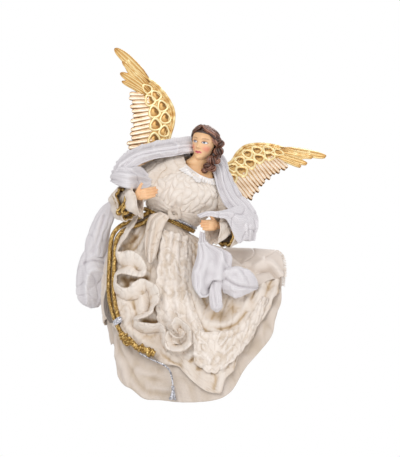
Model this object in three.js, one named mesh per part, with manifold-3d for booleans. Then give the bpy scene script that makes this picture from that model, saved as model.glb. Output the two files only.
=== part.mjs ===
// Hanging angel ornament: cast head, hands and wings on a padded wire figure, dressed in
// stiffened cream and white cloth, with gold and silver cords.
// Millimetres, +Z up, the figure faces -Y. The origin is the point of the hanging ring that
// rests on the hook. Right and left are the figure's own, so its right is at -X.
import * as THREE from "three";
import { mergeVertices } from "three/addons/utils/BufferGeometryUtils.js";
import Module from "manifold-3d";

const wasm = await Module();
wasm.setup();

const { PI, cos, sin } = Math;
const TURN = 2 * PI;
const vec = (x, y, z) => new THREE.Vector3(x, y, z);
const radians = (angle) => THREE.MathUtils.degToRad(angle);
const mix = (a, b, t) => a + (b - a) * t;
const steps = (count) => Array.from({ length: count + 1 }, (_, i) => i / count);

// Driving dimensions: clearances and stock
const GAP = 0.3; // left between neighbouring pieces
const CLOTH = 1.2; // wall of a stiffened cloth layer
const GAUZE = 1.0; // wall of the white gauze
const WIRE_RADIUS = 0.8; // armature wire

// Driving dimensions: hanger and back block, in the yawed frame of the back
const BODY_YAW = radians(14);
const RING_HOLE = 5; // inner radius of the hanging ring
const RING_WIRE = 0.7;
const RING_CLEARANCE = 1;
const EYE_BORE = 1.25; // rolled eye of the hanger plate
const EYE_WALL = 0.9;
const EYE_LENGTH = 3;
const PLATE_WIDTH = 9;
const PLATE_HEIGHT = 24;
const PLATE_THICKNESS = 1.2;
const BLOCK_WIDTH = 40;
const BLOCK_HEIGHT = 30;
const BLOCK_DEPTH = 12;
const BLOCK_BELOW_EYE = 1.5;
const SCREW_SHANK = 1;
const SCREW_HEAD = 1.9;
const SCREW_LENGTH = 10;
const SCREW_PITCH = 13; // between the two screws of a pair

// Driving dimensions: wings, one casting and its mirror image
const WING_SWEEP = radians(14);
// How each blade stands: its rise from the level, its pitch about its length, and its root
const WING_STANCE = {
  right: { raise: radians(64.3), pitch: 0, root: vec(13.2, 0, -20.6) },
  left: { raise: radians(7.4), pitch: radians(36), root: vec(-6, 0, -9.2) },
};
const WING_THICKNESS = 1.8;
const WING_RELIEF = 1.3;
const LUG_WIDTH = 11;
const LUG_HEIGHT = 22;
const LUG_THICKNESS = 2.6;

// Driving dimensions: torso rings from the waist to the collar
const TORSO = [
  { centre: vec(-23, -24, -48.5), halfWidth: 20.5, halfDepth: 14, lean: 25, nod: 0 },
  { centre: vec(-16, -24, -37.5), halfWidth: 25, halfDepth: 16.5, lean: 23, nod: 0 },
  { centre: vec(-9.5, -24.5, -25.5), halfWidth: 29, halfDepth: 18, lean: 20, nod: 2 },
  { centre: vec(-6, -24, -14.5), halfWidth: 27, halfDepth: 16, lean: 18, nod: 8 },
  { centre: vec(-1.7, -24, -7), halfWidth: 20, halfDepth: 14, lean: 23, nod: 20 },
  { centre: vec(2, -25, -2), halfWidth: 13.5, halfDepth: 13, lean: 29, nod: 32 },
];

// Driving dimensions: head and bust
const HEAD_CENTRE = vec(4.6, -28, 18.6);
const HEAD_YAW = radians(-24); // turned to its right
const HEAD_ROLL = radians(9);
const SKULL = vec(8.8, 10.6, 12); // half axes
const JAW = vec(6.6, 8, 8.6);
const JAW_DROP = 6.4;
const NECK_RADIUS = 7.2;
const BUST = vec(14.5, 11.5, 11); // half axes of the shoulder plate
const BUST_CENTRE = vec(1, -25, -9);
const HAIR_THICKNESS = 2.1;

// Driving dimensions: arms, from shoulder to finger tip
const ARMS = {
  right: {
    shoulder: vec(-33, -25, -8),
    elbow: vec(-69, -36, -30),
    wrist: vec(-52, -56, -26.5),
    tip: vec(-31.5, -62, -22),
  },
  left: {
    shoulder: vec(17, -25, -24),
    elbow: vec(40, -34, -48),
    wrist: vec(17.5, -56, -51.5),
    tip: vec(2.5, -69, -51),
  },
};
const ARM_ROOT = 5.4; // padded arm radius at the shoulder
const ARM_END = 3.4; // and at the wrist
const WRIST_GAP = 3; // bare wire between the padding and the hand
const SLEEVE_ROOT = 8.2;
const SLEEVE_RIM = 13.5;
const CUFF_RIM = 7.2;
const BRAID_RADIUS = 1;
const PALM = vec(5.2, 2.1, 4.4); // half axes along, through and across the palm
const FINGER_RADIUS = 1.15;
const HAND_STUB = 5; // wire left in the hand

// Driving dimensions: skirt, as the front view of its waist, swing and hem
const SKIRT_Y = -22;
const HEM_DEPTH = 46;
const DEPTH_EASE = 0.85;
const SKIRT_SWING = [vec(-93, 0, -68), vec(-30, 0, -112), vec(14.5, 0, -79)];
const SKIRT_HEM = [
  vec(-72, 0, -153),
  vec(-62, 0, -187),
  vec(-35, 0, -201),
  vec(5, 0, -199),
  vec(34, 0, -176),
  vec(59, 0, -153),
  vec(71, 0, -119),
  vec(74.5, 0, -78),
];
const SKIRT_FOLDS = 8;
const FOLD_DEPTH = 3.6;
const FOLD_TWIST = 2.2;
const OVERSKIRT_LENGTH = 0.9; // share of the underskirt's length
const WADDING_LENGTH = 0.6;
const UNDERSKIRT_INSET = 3.6; // inner face of the underskirt below the overskirt's face
const HEM_WIRE = 0.6;

// Driving dimensions: waist and trimmings
const BELT_RADIUS = 1.7;
const SASH_HEIGHT = 8;
const SASH_THICKNESS = 2.4;
const KNOT = vec(5.4, 3, 4.2); // half axes
const KNOT_TURN = radians(86);
const LACE_LIFT = 1.6;
// Front views of the lace panel's edges
const LACE_EDGES = {
  right: [
    [-29, -54],
    [-32, -80],
    [-34, -112],
    [-30, -150],
  ],
  left: [
    [-9, -62],
    [-8, -90],
    [-3, -120],
    [7, -152],
  ],
};
const RUFFLE_ROOT = 1.7; // root and free edge of a ruffle above the skirt
const RUFFLE_STAND = 9;
// Front views of the ruffles' roots and free edges
const CASCADE = {
  root: [
    [-41, -49],
    [-45, -60],
    [-49, -72],
    [-53, -84],
    [-53, -96],
    [-52, -107],
    [-47, -117],
    [-42, -127],
    [-40, -135],
    [-33, -141],
  ],
  edge: [
    [-48, -50],
    [-60, -61],
    [-67, -74],
    [-66, -82],
    [-52, -82],
    [-41, -87],
    [-45, -96],
    [-59, -95],
    [-68, -101],
    [-63, -111],
    [-49, -109],
    [-37, -105],
    [-32, -114],
    [-37, -126],
    [-50, -131],
    [-47, -139],
    [-34, -139],
  ],
};
const ROSE = {
  root: [
    [-25, -146],
    [-22, -150],
    [-17, -150],
    [-14, -146],
    [-16, -143],
    [-18, -142],
    [-19, -144],
    [-18, -146],
    [-17, -146],
  ],
  edge: [
    [-30, -142],
    [-26, -152],
    [-17, -158],
    [-7, -151],
    [-8, -139],
    [-17, -134],
    [-24, -141],
    [-21, -150],
    [-13, -148],
  ],
};
const TRAIN = { from: 138, to: 216, lift: 2.4 }; // degrees round the skirt, lift off it

// Driving dimensions: shawl
const SHAWL_RIGHT = {
  path: [vec(-10, -19, 13.5), vec(-30, -22, 9), vec(-47, -28, 0.5), vec(-59, -33, -9), vec(-66, -37, -18)],
  radii: [9, 10.5, 11.5, 12, 10],
  edges: [-110, 140],
  folds: 0.9,
};
const SHAWL_LEFT = {
  path: [vec(15, -19, 3), vec(22, -22, -8), vec(29, -27, -22), vec(36.5, -33, -38), vec(38, -37, -55)],
  radii: [6.5, 7, 8.5, 12, 13],
  edges: [-110, 140],
  folds: 0.9,
};
const SHAWL_BACK = [vec(-13, -11, 12), vec(0, -9, 8), vec(14, -11, 3)];
const SHAWL_BACK_DROP = 13;
const TAIL_RIGHT = {
  path: [vec(-71, -22, -38), vec(-80, -19, -54), vec(-87, -17, -77), vec(-89, -16, -99), vec(-88, -16, -120)],
  halves: [6, 9.5, 12, 13, 10],
  folds: 2.4,
  depth: 4.5,
  lobe: 2.5,
};
const TAIL_LEFT = {
  path: [
    vec(16.5, -56.5, -54.5),
    vec(14, -62.5, -73),
    vec(15, -65, -90),
    vec(21, -64, -106),
    vec(23, -62, -117),
  ],
  halves: [7, 11, 18, 25, 22],
  folds: 2.3,
  depth: 5,
  lobe: 5,
};

// Driving dimensions: cords and tassel
const GOLD_CORD = 1.9; // radii
const GOLD_WRAP = 3.1;
const WRAP_KNOT = vec(4.6, 4.2, 4.6);
const SILVER_CORD = 0.8;
const TASSEL_LENGTH = 13;
const TASSEL_FLARE = 3.4;
const OUTER_ROUTE = [
  vec(-41, -38.25, -40.6),
  vec(-50, -37.45, -45),
  vec(-58.5, -36.65, -48.4),
  vec(-66, -36.25, -52.6),
  vec(-71, -36.25, -58.5),
  vec(-73.2, -36.65, -66.5),
  vec(-74, -37.65, -76.5),
  vec(-74.5, -38.85, -87.5),
  vec(-74.9, -40.85, -98),
  vec(-74.8, -42.85, -108),
  vec(-73.6, -45.45, -117.5),
  vec(-71.2, -49.05, -126.6),
  vec(-68.4, -53.25, -134),
  vec(-64.35, -58, -142.15),
];
const INNER_ROUTE = [
  vec(-39, -39.85, -45),
  vec(-47, -39.25, -49.8),
  vec(-56, -38.45, -53),
  vec(-63, -38.05, -56.6),
  vec(-67.3, -38.25, -61),
  vec(-69.1, -39.05, -68),
  vec(-69.9, -40.65, -78),
  vec(-70.4, -42.25, -88),
  vec(-70.8, -43.85, -98),
  vec(-70.6, -46.45, -108),
  vec(-69.4, -49.25, -117.6),
  vec(-67.4, -52.65, -126.4),
  vec(-65.4, -55.85, -132.4),
];
const WRAP_ROUTE = [
  vec(-64, -58.35, -142.7),
  vec(-59.4, -61.2, -148.4),
  vec(-52, -62.4, -152.9),
  vec(-43.6, -63.2, -156.8),
  vec(-36, -64.2, -160.6),
];
const SILVER_ROUTE = [
  vec(-48.6, -62.2, -159.2),
  vec(-41.6, -62.6, -162.8),
  vec(-34.4, -63, -166.4),
  vec(-28, -63.4, -169.2),
  vec(-23.6, -64.2, -173),
  vec(-21.4, -65.2, -179),
  vec(-20.4, -66.2, -186),
];
const RIBBON_ROUTE = [
  vec(-75.8, -38.6, -106),
  vec(-77, -40, -116),
  vec(-76, -44, -126),
  vec(-72.5, -48.5, -134),
];
const RIBBON_HALF = 2.4;

// Finishes
const finish = (color, roughness, metalness = 0) =>
  new THREE.MeshStandardMaterial({ color, roughness, metalness });
const SKIN = finish("#e8b98a", 0.5);
const BROWN_HAIR = finish("#5a3a2c", 0.55);
const GOLD_PAINT = finish("#d3a84c", 0.35, 0.8);
const CREAM = finish("#e9dfce", 0.95);
const LACE = finish("#efe6d4", 0.95);
const SHEER = finish("#d9cbb6", 0.9);
const WHITE_GAUZE = finish("#e6e5ec", 0.95);
const GOLD_THREAD = finish("#a98436", 0.4, 0.7);
const SILVER_THREAD = finish("#c4c4c8", 0.35, 0.8);
const STUFFING = finish("#f2efe8", 1);
const STEEL = finish("#9c9c9c", 0.35, 1);
const PINE = finish("#c9a877", 0.8);

// Solids and their cutting

function bare(geometry) {
  const positions = new THREE.BufferGeometry();
  positions.setAttribute("position", geometry.getAttribute("position").clone());
  if (geometry.index) positions.setIndex(geometry.index.clone());
  const merged = mergeVertices(positions, 1e-4);
  const index = merged.index.array;
  const kept = [];
  for (let i = 0; i < index.length; i += 3) {
    const [a, b, c] = index.subarray(i, i + 3);
    if (a !== b && b !== c && c !== a) kept.push(a, b, c);
  }
  merged.setIndex(kept);
  return merged;
}

function solidOf(geometry) {
  const merged = bare(geometry);
  const mesh = new wasm.Mesh({
    numProp: 3,
    vertProperties: merged.attributes.position.array,
    triVerts: new Uint32Array(merged.index.array),
  });
  return new wasm.Manifold(mesh);
}

function geometryOf(solid) {
  const bodies = solid.decompose();
  const largest = bodies.reduce((a, b) => (b.volume() > a.volume() ? b : a));
  const { vertProperties, triVerts } = largest.getMesh();
  const geometry = new THREE.BufferGeometry();
  geometry.setAttribute("position", new THREE.BufferAttribute(vertProperties, 3));
  geometry.setIndex(new THREE.BufferAttribute(triVerts, 1));
  return geometry;
}

const join = (...geometries) => geometryOf(geometries.map(solidOf).reduce((a, b) => a.add(b)));

// The same surface moved out along its vertex normals, further at sharp edges
function grown(geometry, by = GAP) {
  const merged = bare(geometry);
  merged.computeVertexNormals();
  const { position, normal } = merged.attributes;
  const reach = 1.4 * by;
  for (let i = 0; i < position.count; i++) {
    position.setXYZ(
      i,
      position.getX(i) + normal.getX(i) * reach,
      position.getY(i) + normal.getY(i) * reach,
      position.getZ(i) + normal.getZ(i) * reach,
    );
  }
  return merged;
}

// What is left of a piece beside its neighbours, with the clearance round them
function fitted(geometry, ...neighbours) {
  const rest = neighbours.reduce((left, n) => left.subtract(solidOf(grown(n))), solidOf(geometry));
  return geometryOf(rest);
}

// Surfaces made of rings and grids of points

function facing(points, faces) {
  const geometry = new THREE.BufferGeometry().setFromPoints(points);
  let volume = 0;
  for (let i = 0; i < faces.length; i += 3) {
    const [a, b, c] = faces.slice(i, i + 3).map((k) => points[k]);
    volume += a.dot(b.clone().cross(c));
  }
  geometry.setIndex(volume < 0 ? faces.reverse() : faces);
  return geometry;
}

function ringFaces(rings, sides, loop) {
  const faces = [];
  const spans = loop ? rings : rings - 1;
  for (let i = 0; i < spans; i++) {
    for (let k = 0; k < sides; k++) {
      const a = i * sides + k;
      const b = i * sides + ((k + 1) % sides);
      const c = ((i + 1) % rings) * sides + k;
      const d = ((i + 1) % rings) * sides + ((k + 1) % sides);
      faces.push(a, b, d, a, d, c);
    }
  }
  return faces;
}

// A solid through rings of points, capped at both ends, or closed on itself as a loop
function skin(rings, loop = false) {
  const sides = rings[0].length;
  const points = rings.flat();
  const faces = ringFaces(rings.length, sides, loop);
  if (!loop) {
    const ends = [rings[0], rings[rings.length - 1]];
    ends.forEach((ring, end) => {
      const middle = ring.reduce((sum, p) => sum.add(p), vec(0, 0, 0)).divideScalar(sides);
      const centre = points.push(middle) - 1;
      const first = end ? (rings.length - 1) * sides : 0;
      for (let k = 0; k < sides; k++) {
        const a = first + k;
        const b = first + ((k + 1) % sides);
        faces.push(...(end ? [centre, a, b] : [centre, b, a]));
      }
    });
  }
  return facing(points, faces);
}

// A wall between two sets of rings, open at both ends
const wall = (outer, inner) => skin([...outer, ...inner.toReversed()], true);

// A cloth of even thickness on a grid of points
function cloth(grid, thickness) {
  const rows = grid.length;
  const columns = grid[0].length;
  const at = (i, k) => grid[Math.min(Math.max(i, 0), rows - 1)][Math.min(Math.max(k, 0), columns - 1)];
  const sides = [1, -1].map((side) =>
    grid.flatMap((row, i) =>
      row.map((p, k) => {
        const down = at(i + 1, k).clone().sub(at(i - 1, k));
        const across = at(i, k + 1).clone().sub(at(i, k - 1));
        const normal = across.cross(down).normalize();
        return p.clone().addScaledVector(normal, (side * thickness) / 2);
      }),
    ),
  );
  const back = rows * columns;
  const faces = [];
  const quad = (a, b, c, d) => faces.push(a, b, c, a, c, d);
  for (let i = 0; i < rows - 1; i++) {
    for (let k = 0; k < columns - 1; k++) {
      const a = i * columns + k;
      quad(a, a + columns, a + columns + 1, a + 1);
      quad(back + a, back + a + 1, back + a + columns + 1, back + a + columns);
    }
  }
  const edge = (a, b) => quad(a, b, back + b, back + a);
  for (let k = 0; k < columns - 1; k++) {
    edge(k, k + 1);
    edge((rows - 1) * columns + k + 1, (rows - 1) * columns + k);
  }
  for (let i = 0; i < rows - 1; i++) {
    edge((i + 1) * columns, i * columns);
    edge(i * columns + columns - 1, (i + 1) * columns + columns - 1);
  }
  return facing(sides.flat(), faces);
}

const curve = (points) => new THREE.CatmullRomCurve3(points, false, "catmullrom", 0.5);

// A round bar along a curve
function bar(path, radius, sides, count) {
  const section = new THREE.Shape();
  const corners = steps(sides).slice(0, -1);
  section.setFromPoints(
    corners.map((t) => new THREE.Vector2(radius * cos(t * TURN), radius * sin(t * TURN))),
  );
  return new THREE.ExtrudeGeometry(section, { steps: count, extrudePath: path, bevelEnabled: false });
}

// Rings of a changing radius round a curve
function ringsAlong(path, count, sides, radiusAt) {
  const frames = path.computeFrenetFrames(count, false);
  return steps(count).map((t, i) => {
    const centre = path.getPointAt(t);
    return steps(sides)
      .slice(0, -1)
      .map((a) => {
        const radius = radiusAt(t, a * TURN);
        return centre
          .clone()
          .addScaledVector(frames.normals[i], radius * cos(a * TURN))
          .addScaledVector(frames.binormals[i], radius * sin(a * TURN));
      });
  });
}

function ellipsoid(axes, centre, across = 12, down = 8) {
  const ball = new THREE.SphereGeometry(1, across, down);
  ball.scale(axes.x, axes.y, axes.z);
  ball.translate(centre.x, centre.y, centre.z);
  return ball;
}

// The meshes of the ornament, by name
const angel = new THREE.Group();
const made = {};

function add(name, geometry, material) {
  const mesh = new THREE.Mesh(geometry, material);
  mesh.name = name;
  angel.add(mesh);
  made[name] = geometry;
}

// Hanger: ring, plate with a rolled eye, wooden block and countersunk screws, in the back's frame
const RING_RADIUS = RING_HOLE + RING_WIRE;
const EYE_HEIGHT = -RING_HOLE - RING_RADIUS; // where the ring turns in the eye
const PLATE_FRONT = -PLATE_THICKNESS - EYE_WALL; // the rolled eye stands out behind the plate
const BLOCK_BACK = PLATE_FRONT - GAP;
const BLOCK_TOP = EYE_HEIGHT - BLOCK_BELOW_EYE;
const RING_ROOM = RING_RADIUS + RING_WIRE + RING_CLEARANCE; // half width kept free for the ring
const LUG_MIDDLE = RING_ROOM + LUG_WIDTH / 2;
const LUG_HEIGHT_MIDDLE = BLOCK_TOP - GAP - LUG_HEIGHT / 2;

const turned = (geometry) => geometry.clone().rotateZ(BODY_YAW);

function hangingRing() {
  const ring = new THREE.TorusGeometry(RING_RADIUS, RING_WIRE, 6, 20);
  ring.rotateX(PI / 2);
  ring.translate(0, 0, -RING_HOLE);
  return ring;
}

function hangerPlate() {
  const thickness = PLATE_THICKNESS;
  const strap = new THREE.BoxGeometry(PLATE_WIDTH, thickness, PLATE_HEIGHT);
  strap.translate(0, PLATE_FRONT + thickness / 2, EYE_HEIGHT - EYE_BORE - EYE_WALL - PLATE_HEIGHT / 2);
  const outer = EYE_BORE + EYE_WALL;
  const neckDepth = outer * 0.9;
  const neck = new THREE.BoxGeometry(EYE_LENGTH, neckDepth, 2 * outer);
  neck.translate(0, PLATE_FRONT + neckDepth / 2, EYE_HEIGHT - outer);
  const eye = new THREE.CylinderGeometry(outer, outer, EYE_LENGTH, 10);
  const bore = new THREE.CylinderGeometry(EYE_BORE, EYE_BORE, 2 * EYE_LENGTH, 10);
  for (const round of [eye, bore]) {
    round.rotateZ(PI / 2);
    round.translate(0, 0, EYE_HEIGHT);
  }
  return geometryOf(solidOf(join(strap, neck, eye)).subtract(solidOf(bore)));
}

function backBlock() {
  const block = new THREE.BoxGeometry(BLOCK_WIDTH, BLOCK_DEPTH, BLOCK_HEIGHT);
  block.translate(0, BLOCK_BACK - BLOCK_DEPTH / 2, BLOCK_TOP - BLOCK_HEIGHT / 2);
  return block;
}

// A countersunk screw driven in from the back, its flat head at the given depth
function screw(x, y, z) {
  const profile = [
    [0, 0],
    [SCREW_HEAD, 0],
    [SCREW_SHANK, -(SCREW_HEAD - SCREW_SHANK)],
    [SCREW_SHANK, -SCREW_LENGTH + SCREW_SHANK],
    [0, -SCREW_LENGTH],
  ];
  const points = profile.map(([radius, depth]) => new THREE.Vector2(radius, depth)).toReversed();
  const body = new THREE.LatheGeometry(points, 6);
  body.translate(x, y, z);
  return body;
}

// Wings: a blade with feathers in relief and a lug that is screwed to the block.
// The outline is in the blade's own frame: u from the root to the tip, v to the leading edge.
const WING_LEADING = [
  [0, 6],
  [24, 6.5],
  [41, 8],
  [53.7, 18],
  [64.7, 23.2],
  [78.7, 22.8],
  [91.2, 19],
  [102.2, 12.9],
  [112.7, 8.6],
  [125, 5.5],
  [133.5, 2],
];
// Feathers: root and tip of the midrib, then half width
const PRIMARIES = [
  { root: [96, 12], tip: [134, 0], half: 4.2 },
  { root: [84, 11], tip: [113, -4.6], half: 3.6 },
];
const SECONDARY_COUNT = 8;
const SECONDARY_ROOTS = [
  [86, 9],
  [24, -4],
];
const SECONDARY_TIPS = [
  [92, -6],
  [73, -15],
  [60, -29.5],
  [36, -29],
];
const SECONDARY_HALF = 3.1;
const COVERT_COUNT = 5;
const COVERT_ROW = { from: [84, 14], to: [34, -1], bow: 5.5, half: 5.6 };

const flat = ([u, v]) => new THREE.Vector2(u, v);

function feather(root, tip, half, height) {
  const length = root.distanceTo(tip);
  const lens = new THREE.SphereGeometry(1, 6, 3);
  lens.rotateX(PI / 2);
  lens.scale(length / 2, half, height);
  lens.rotateZ(Math.atan2(tip.y - root.y, tip.x - root.x));
  lens.translate((root.x + tip.x) / 2, (root.y + tip.y) / 2, WING_THICKNESS / 2);
  return lens;
}

function feathers() {
  const plumes = PRIMARIES.map(({ root, tip, half }) =>
    feather(flat(root), flat(tip), half, WING_THICKNESS / 2 + WING_RELIEF),
  );
  const tips = new THREE.SplineCurve(SECONDARY_TIPS.map(flat));
  const [first, last] = SECONDARY_ROOTS.map(flat);
  for (const t of steps(SECONDARY_COUNT - 1)) {
    const root = first.clone().lerp(last, t);
    const height = WING_THICKNESS / 2 + 0.6 * WING_RELIEF;
    plumes.push(feather(root, tips.getPoint(t), SECONDARY_HALF, height));
  }
  const { from, to, bow, half } = COVERT_ROW;
  for (const t of steps(COVERT_COUNT - 1)) {
    const centre = flat(from).lerp(flat(to), t);
    centre.y += bow * sin(t * PI);
    const reach = new THREE.Vector2(half, 0);
    const ends = [centre.clone().add(reach), centre.clone().sub(reach)];
    plumes.push(feather(...ends, half, WING_THICKNESS / 2 + WING_RELIEF));
  }
  return plumes;
}

// The blade's plate under the feathers, from the leading edge to the middle of the feathers
function bladePlate() {
  const leading = new THREE.SplineCurve(WING_LEADING.map(flat)).getPoints(14);
  const trailing = [
    [112, 1],
    [96, 3],
    [88, 1],
    [72, -6],
    [58, -18],
    [40, -18],
    [26, -17],
    [0, -15],
  ].map(flat);
  const plate = new THREE.Shape([...leading, ...trailing]);
  return new THREE.ExtrudeGeometry(plate, { depth: WING_THICKNESS, bevelEnabled: false });
}

function wing(side) {
  const { raise, pitch, root } = WING_STANCE[side];
  const blade = join(bladePlate(), ...feathers());
  blade.translate(0, 0, -WING_THICKNESS / 2);
  blade.rotateX(PI / 2 - pitch);
  blade.rotateY(-raise);
  blade.rotateZ(WING_SWEEP);
  blade.translate(root.x, BLOCK_BACK + GAP + LUG_THICKNESS / 2, root.z);
  const lug = new THREE.BoxGeometry(LUG_WIDTH, LUG_THICKNESS, LUG_HEIGHT);
  lug.translate(LUG_MIDDLE, BLOCK_BACK + GAP + LUG_THICKNESS / 2, LUG_HEIGHT_MIDDLE);
  const lane = new THREE.BoxGeometry(2 * RING_ROOM, 3 * BLOCK_DEPTH, 8 * BLOCK_HEIGHT);
  const beyond = new THREE.BoxGeometry(BLOCK_WIDTH, 3 * BLOCK_DEPTH, 8 * BLOCK_HEIGHT);
  beyond.translate(-BLOCK_WIDTH / 2, 0, 0);
  const room = join(lane, beyond, grown(backBlock()));
  const seated = geometryOf(solidOf(join(lug, blade)).subtract(solidOf(room)));
  return side === "left" ? seated : mirrored(seated);
}

function mirrored(geometry) {
  const copy = geometry.clone().scale(-1, 1, 1);
  copy.setIndex([...copy.index.array].reverse());
  return copy;
}

const PLATE_MIDDLE = EYE_HEIGHT - EYE_BORE - EYE_WALL - PLATE_HEIGHT / 2;
const screwPlaces = {
  hanger: [0, PLATE_FRONT + PLATE_THICKNESS, PLATE_MIDDLE],
  right_wing: [-LUG_MIDDLE, BLOCK_BACK + GAP + LUG_THICKNESS, LUG_HEIGHT_MIDDLE],
  left_wing: [LUG_MIDDLE, BLOCK_BACK + GAP + LUG_THICKNESS, LUG_HEIGHT_MIDDLE],
};
const screws = Object.entries(screwPlaces).flatMap(([holder, [x, y, z]]) =>
  [
    ["upper", z + SCREW_PITCH / 2],
    ["lower", z - SCREW_PITCH / 2],
  ].map(([end, height]) => ({ name: `${holder}_screw_${end}`, geometry: turned(screw(x, y, height)) })),
);
const screwBodies = screws.map((s) => s.geometry);

const block = turned(backBlock());
add("hanging_ring", turned(hangingRing()), STEEL);
add("hanger_plate", fitted(turned(hangerPlate()), ...screwBodies), STEEL);
add("right_wing", fitted(turned(wing("right")), ...screwBodies), GOLD_PAINT);
add("left_wing", fitted(turned(wing("left")), ...screwBodies), GOLD_PAINT);
add("back_block", fitted(block, ...screwBodies), PINE);
for (const { name, geometry } of screws) add(name, geometry, STEEL);

// Torso: rings between the stations, wider by an offset

const stations = {
  centre: curve(TORSO.map((s) => s.centre)),
  size: curve(TORSO.map((s) => vec(s.halfWidth, s.halfDepth, 0))),
  tilt: curve(TORSO.map((s) => vec(radians(s.lean), radians(s.nod), 0))),
};
const TORSO_UP = TORSO[1].centre.clone().sub(TORSO[0].centre).normalize();

function torsoPoint(t, turn, offset) {
  const { x: lean, y: nod } = stations.tilt.getPoint(t);
  const { x: halfWidth, y: halfDepth } = stations.size.getPoint(t);
  return stations.centre
    .getPoint(t)
    .addScaledVector(vec(cos(lean), 0, -sin(lean)), (halfWidth + offset) * cos(turn))
    .addScaledVector(vec(0, -cos(nod), -sin(nod)), (halfDepth + offset) * sin(turn));
}

const torsoRing = (t, offset, sides) =>
  steps(sides)
    .slice(0, -1)
    .map((a) => torsoPoint(t, a * TURN, offset));

// A band of oval section round the torso, at places given by turn, distance out and height
function hoop(placeAt, { halfThick, halfHigh }, sides) {
  const rings = steps(sides)
    .slice(0, -1)
    .map((a) =>
      steps(6)
        .slice(0, -1)
        .map((b) => placeAt(a * TURN, halfThick * cos(b * TURN), halfHigh * sin(b * TURN))),
    );
  return skin(rings, true);
}

// Head and bust: one casting with the neck, and the hair over it

function headFrame(geometry) {
  geometry.rotateY(HEAD_ROLL);
  geometry.rotateZ(HEAD_YAW);
  geometry.translate(HEAD_CENTRE.x, HEAD_CENTRE.y, HEAD_CENTRE.z);
  return geometry;
}

function headBust() {
  const skull = ellipsoid(SKULL, vec(0, 0, 0), 12, 7);
  const jaw = ellipsoid(JAW, vec(0, -SKULL.y + JAW.y, -JAW_DROP), 10, 6);
  const nose = new THREE.ConeGeometry(1.5, 4.6, 6);
  nose.rotateX(radians(14));
  nose.translate(0, -SKULL.y - 0.4, -2.6);
  const head = headFrame(join(skull, jaw, nose));
  const collarbone = BUST_CENTRE.clone().add(vec(0, 0, BUST.z / 2));
  const nape = HEAD_CENTRE.clone().add(vec(0, SKULL.y / 4, -SKULL.z / 2));
  const neck = bar(curve([collarbone, nape]), NECK_RADIUS, 8, 1);
  return join(head, neck, ellipsoid(BUST, BUST_CENTRE, 10, 7));
}

// Locks of hair as balls: place in the head's frame, then radius
const LOCKS = [
  [10.5, -3, 4, 5],
  [13, -1.5, -6, 5],
  [11, -5, -14.5, 4.2],
  [13.5, -1.5, -15, 3.8],
  [8.5, -6.5, -19, 3.6],
  [7, 5, -9, 5],
  [-8.5, -2, 4, 4.2],
  [-8.5, 3, -7, 4.6],
  [2.5, -6.5, 11, 4],
  [-4.5, -6, 9.8, 3.4],
];

function hair() {
  const cap = ellipsoid(
    SKULL.clone().addScalar(HAIR_THICKNESS),
    vec(0, HAIR_THICKNESS, HAIR_THICKNESS / 2),
    12,
    7,
  );
  const locks = LOCKS.map(([x, y, z, r]) => ellipsoid(vec(r, r, 1.15 * r), vec(x, y, z), 6, 4));
  const face = ellipsoid(vec(7.2, 14, 13.5), vec(-0.8, -SKULL.y - 3, -4.5), 10, 6);
  return headFrame(geometryOf(solidOf(join(cap, ...locks)).subtract(solidOf(face))));
}

// Armature: a spine wire and one wire through both arms, which end short of the wrists

const spinePath = curve([
  BUST_CENTRE.clone(),
  TORSO[2].centre.clone(),
  TORSO[0].centre.clone(),
  vec(-20, SKIRT_Y, -92),
]);
const spineWire = bar(spinePath, WIRE_RADIUS, 5, 8);

const wristGap = (arm) =>
  arm.wrist.clone().lerp(arm.elbow, (WIRE_RADIUS + 2 * GAP) / arm.wrist.distanceTo(arm.elbow));
const yoke = TORSO[2].centre.clone().lerp(TORSO[3].centre, 0.3);
yoke.y -= 3 * WIRE_RADIUS + GAP; // in front of the spine
const armPath = curve([
  wristGap(ARMS.right),
  ARMS.right.elbow,
  ARMS.right.shoulder,
  yoke,
  ARMS.left.shoulder,
  ARMS.left.elbow,
  wristGap(ARMS.left),
]);
const armWire = bar(armPath, WIRE_RADIUS, 5, 24);

const bust = headBust();
add("head_bust", fitted(bust, spineWire, block), SKIN);
add("hair", fitted(hair(), grown(bust, 2 * GAP)), BROWN_HAIR);
add("spine_wire", spineWire, STEEL);
add("arm_wire", armWire, STEEL);

const CORE_TOP = 0.92; // share of the torso that is stuffed
const CORE_SIDES = 13;
const core = skin(steps(4).map((t) => torsoRing(t * CORE_TOP, -2 * GAP, CORE_SIDES)));
add("torso_core", fitted(core, bust, block, spineWire, armWire), STUFFING);

const BODICE_SIDES = 24;
const bodiceRings = (offset) => steps(6).map((t) => torsoRing(t, offset, BODICE_SIDES));
const bodiceShell = wall(bodiceRings(GAP + CLOTH), bodiceRings(GAP));
const armHoles = Object.values(ARMS).map((arm) =>
  bar(curve([yoke, arm.shoulder, arm.elbow]), ARM_ROOT, 6, 3),
);
const wings = [made.right_wing, made.left_wing];
const bodice = fitted(bodiceShell, bust, block, ...wings, ...armHoles);
add("bodice", bodice, CREAM);

const FRILL = { halfThick: 1.6, halfHigh: 1.3, lift: 1.8 };
const frillAt = (turn, out, high) =>
  torsoPoint(1, turn, GAP + out + 0.5 * sin(9 * turn)).addScaledVector(TORSO_UP, FRILL.lift + high);
add("neck_frill", fitted(hoop(frillAt, FRILL, 24), grown(bust), bodice, made.hair), LACE);

// Arms: padding, hand, cuff and sleeve with its braid on each side

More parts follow.
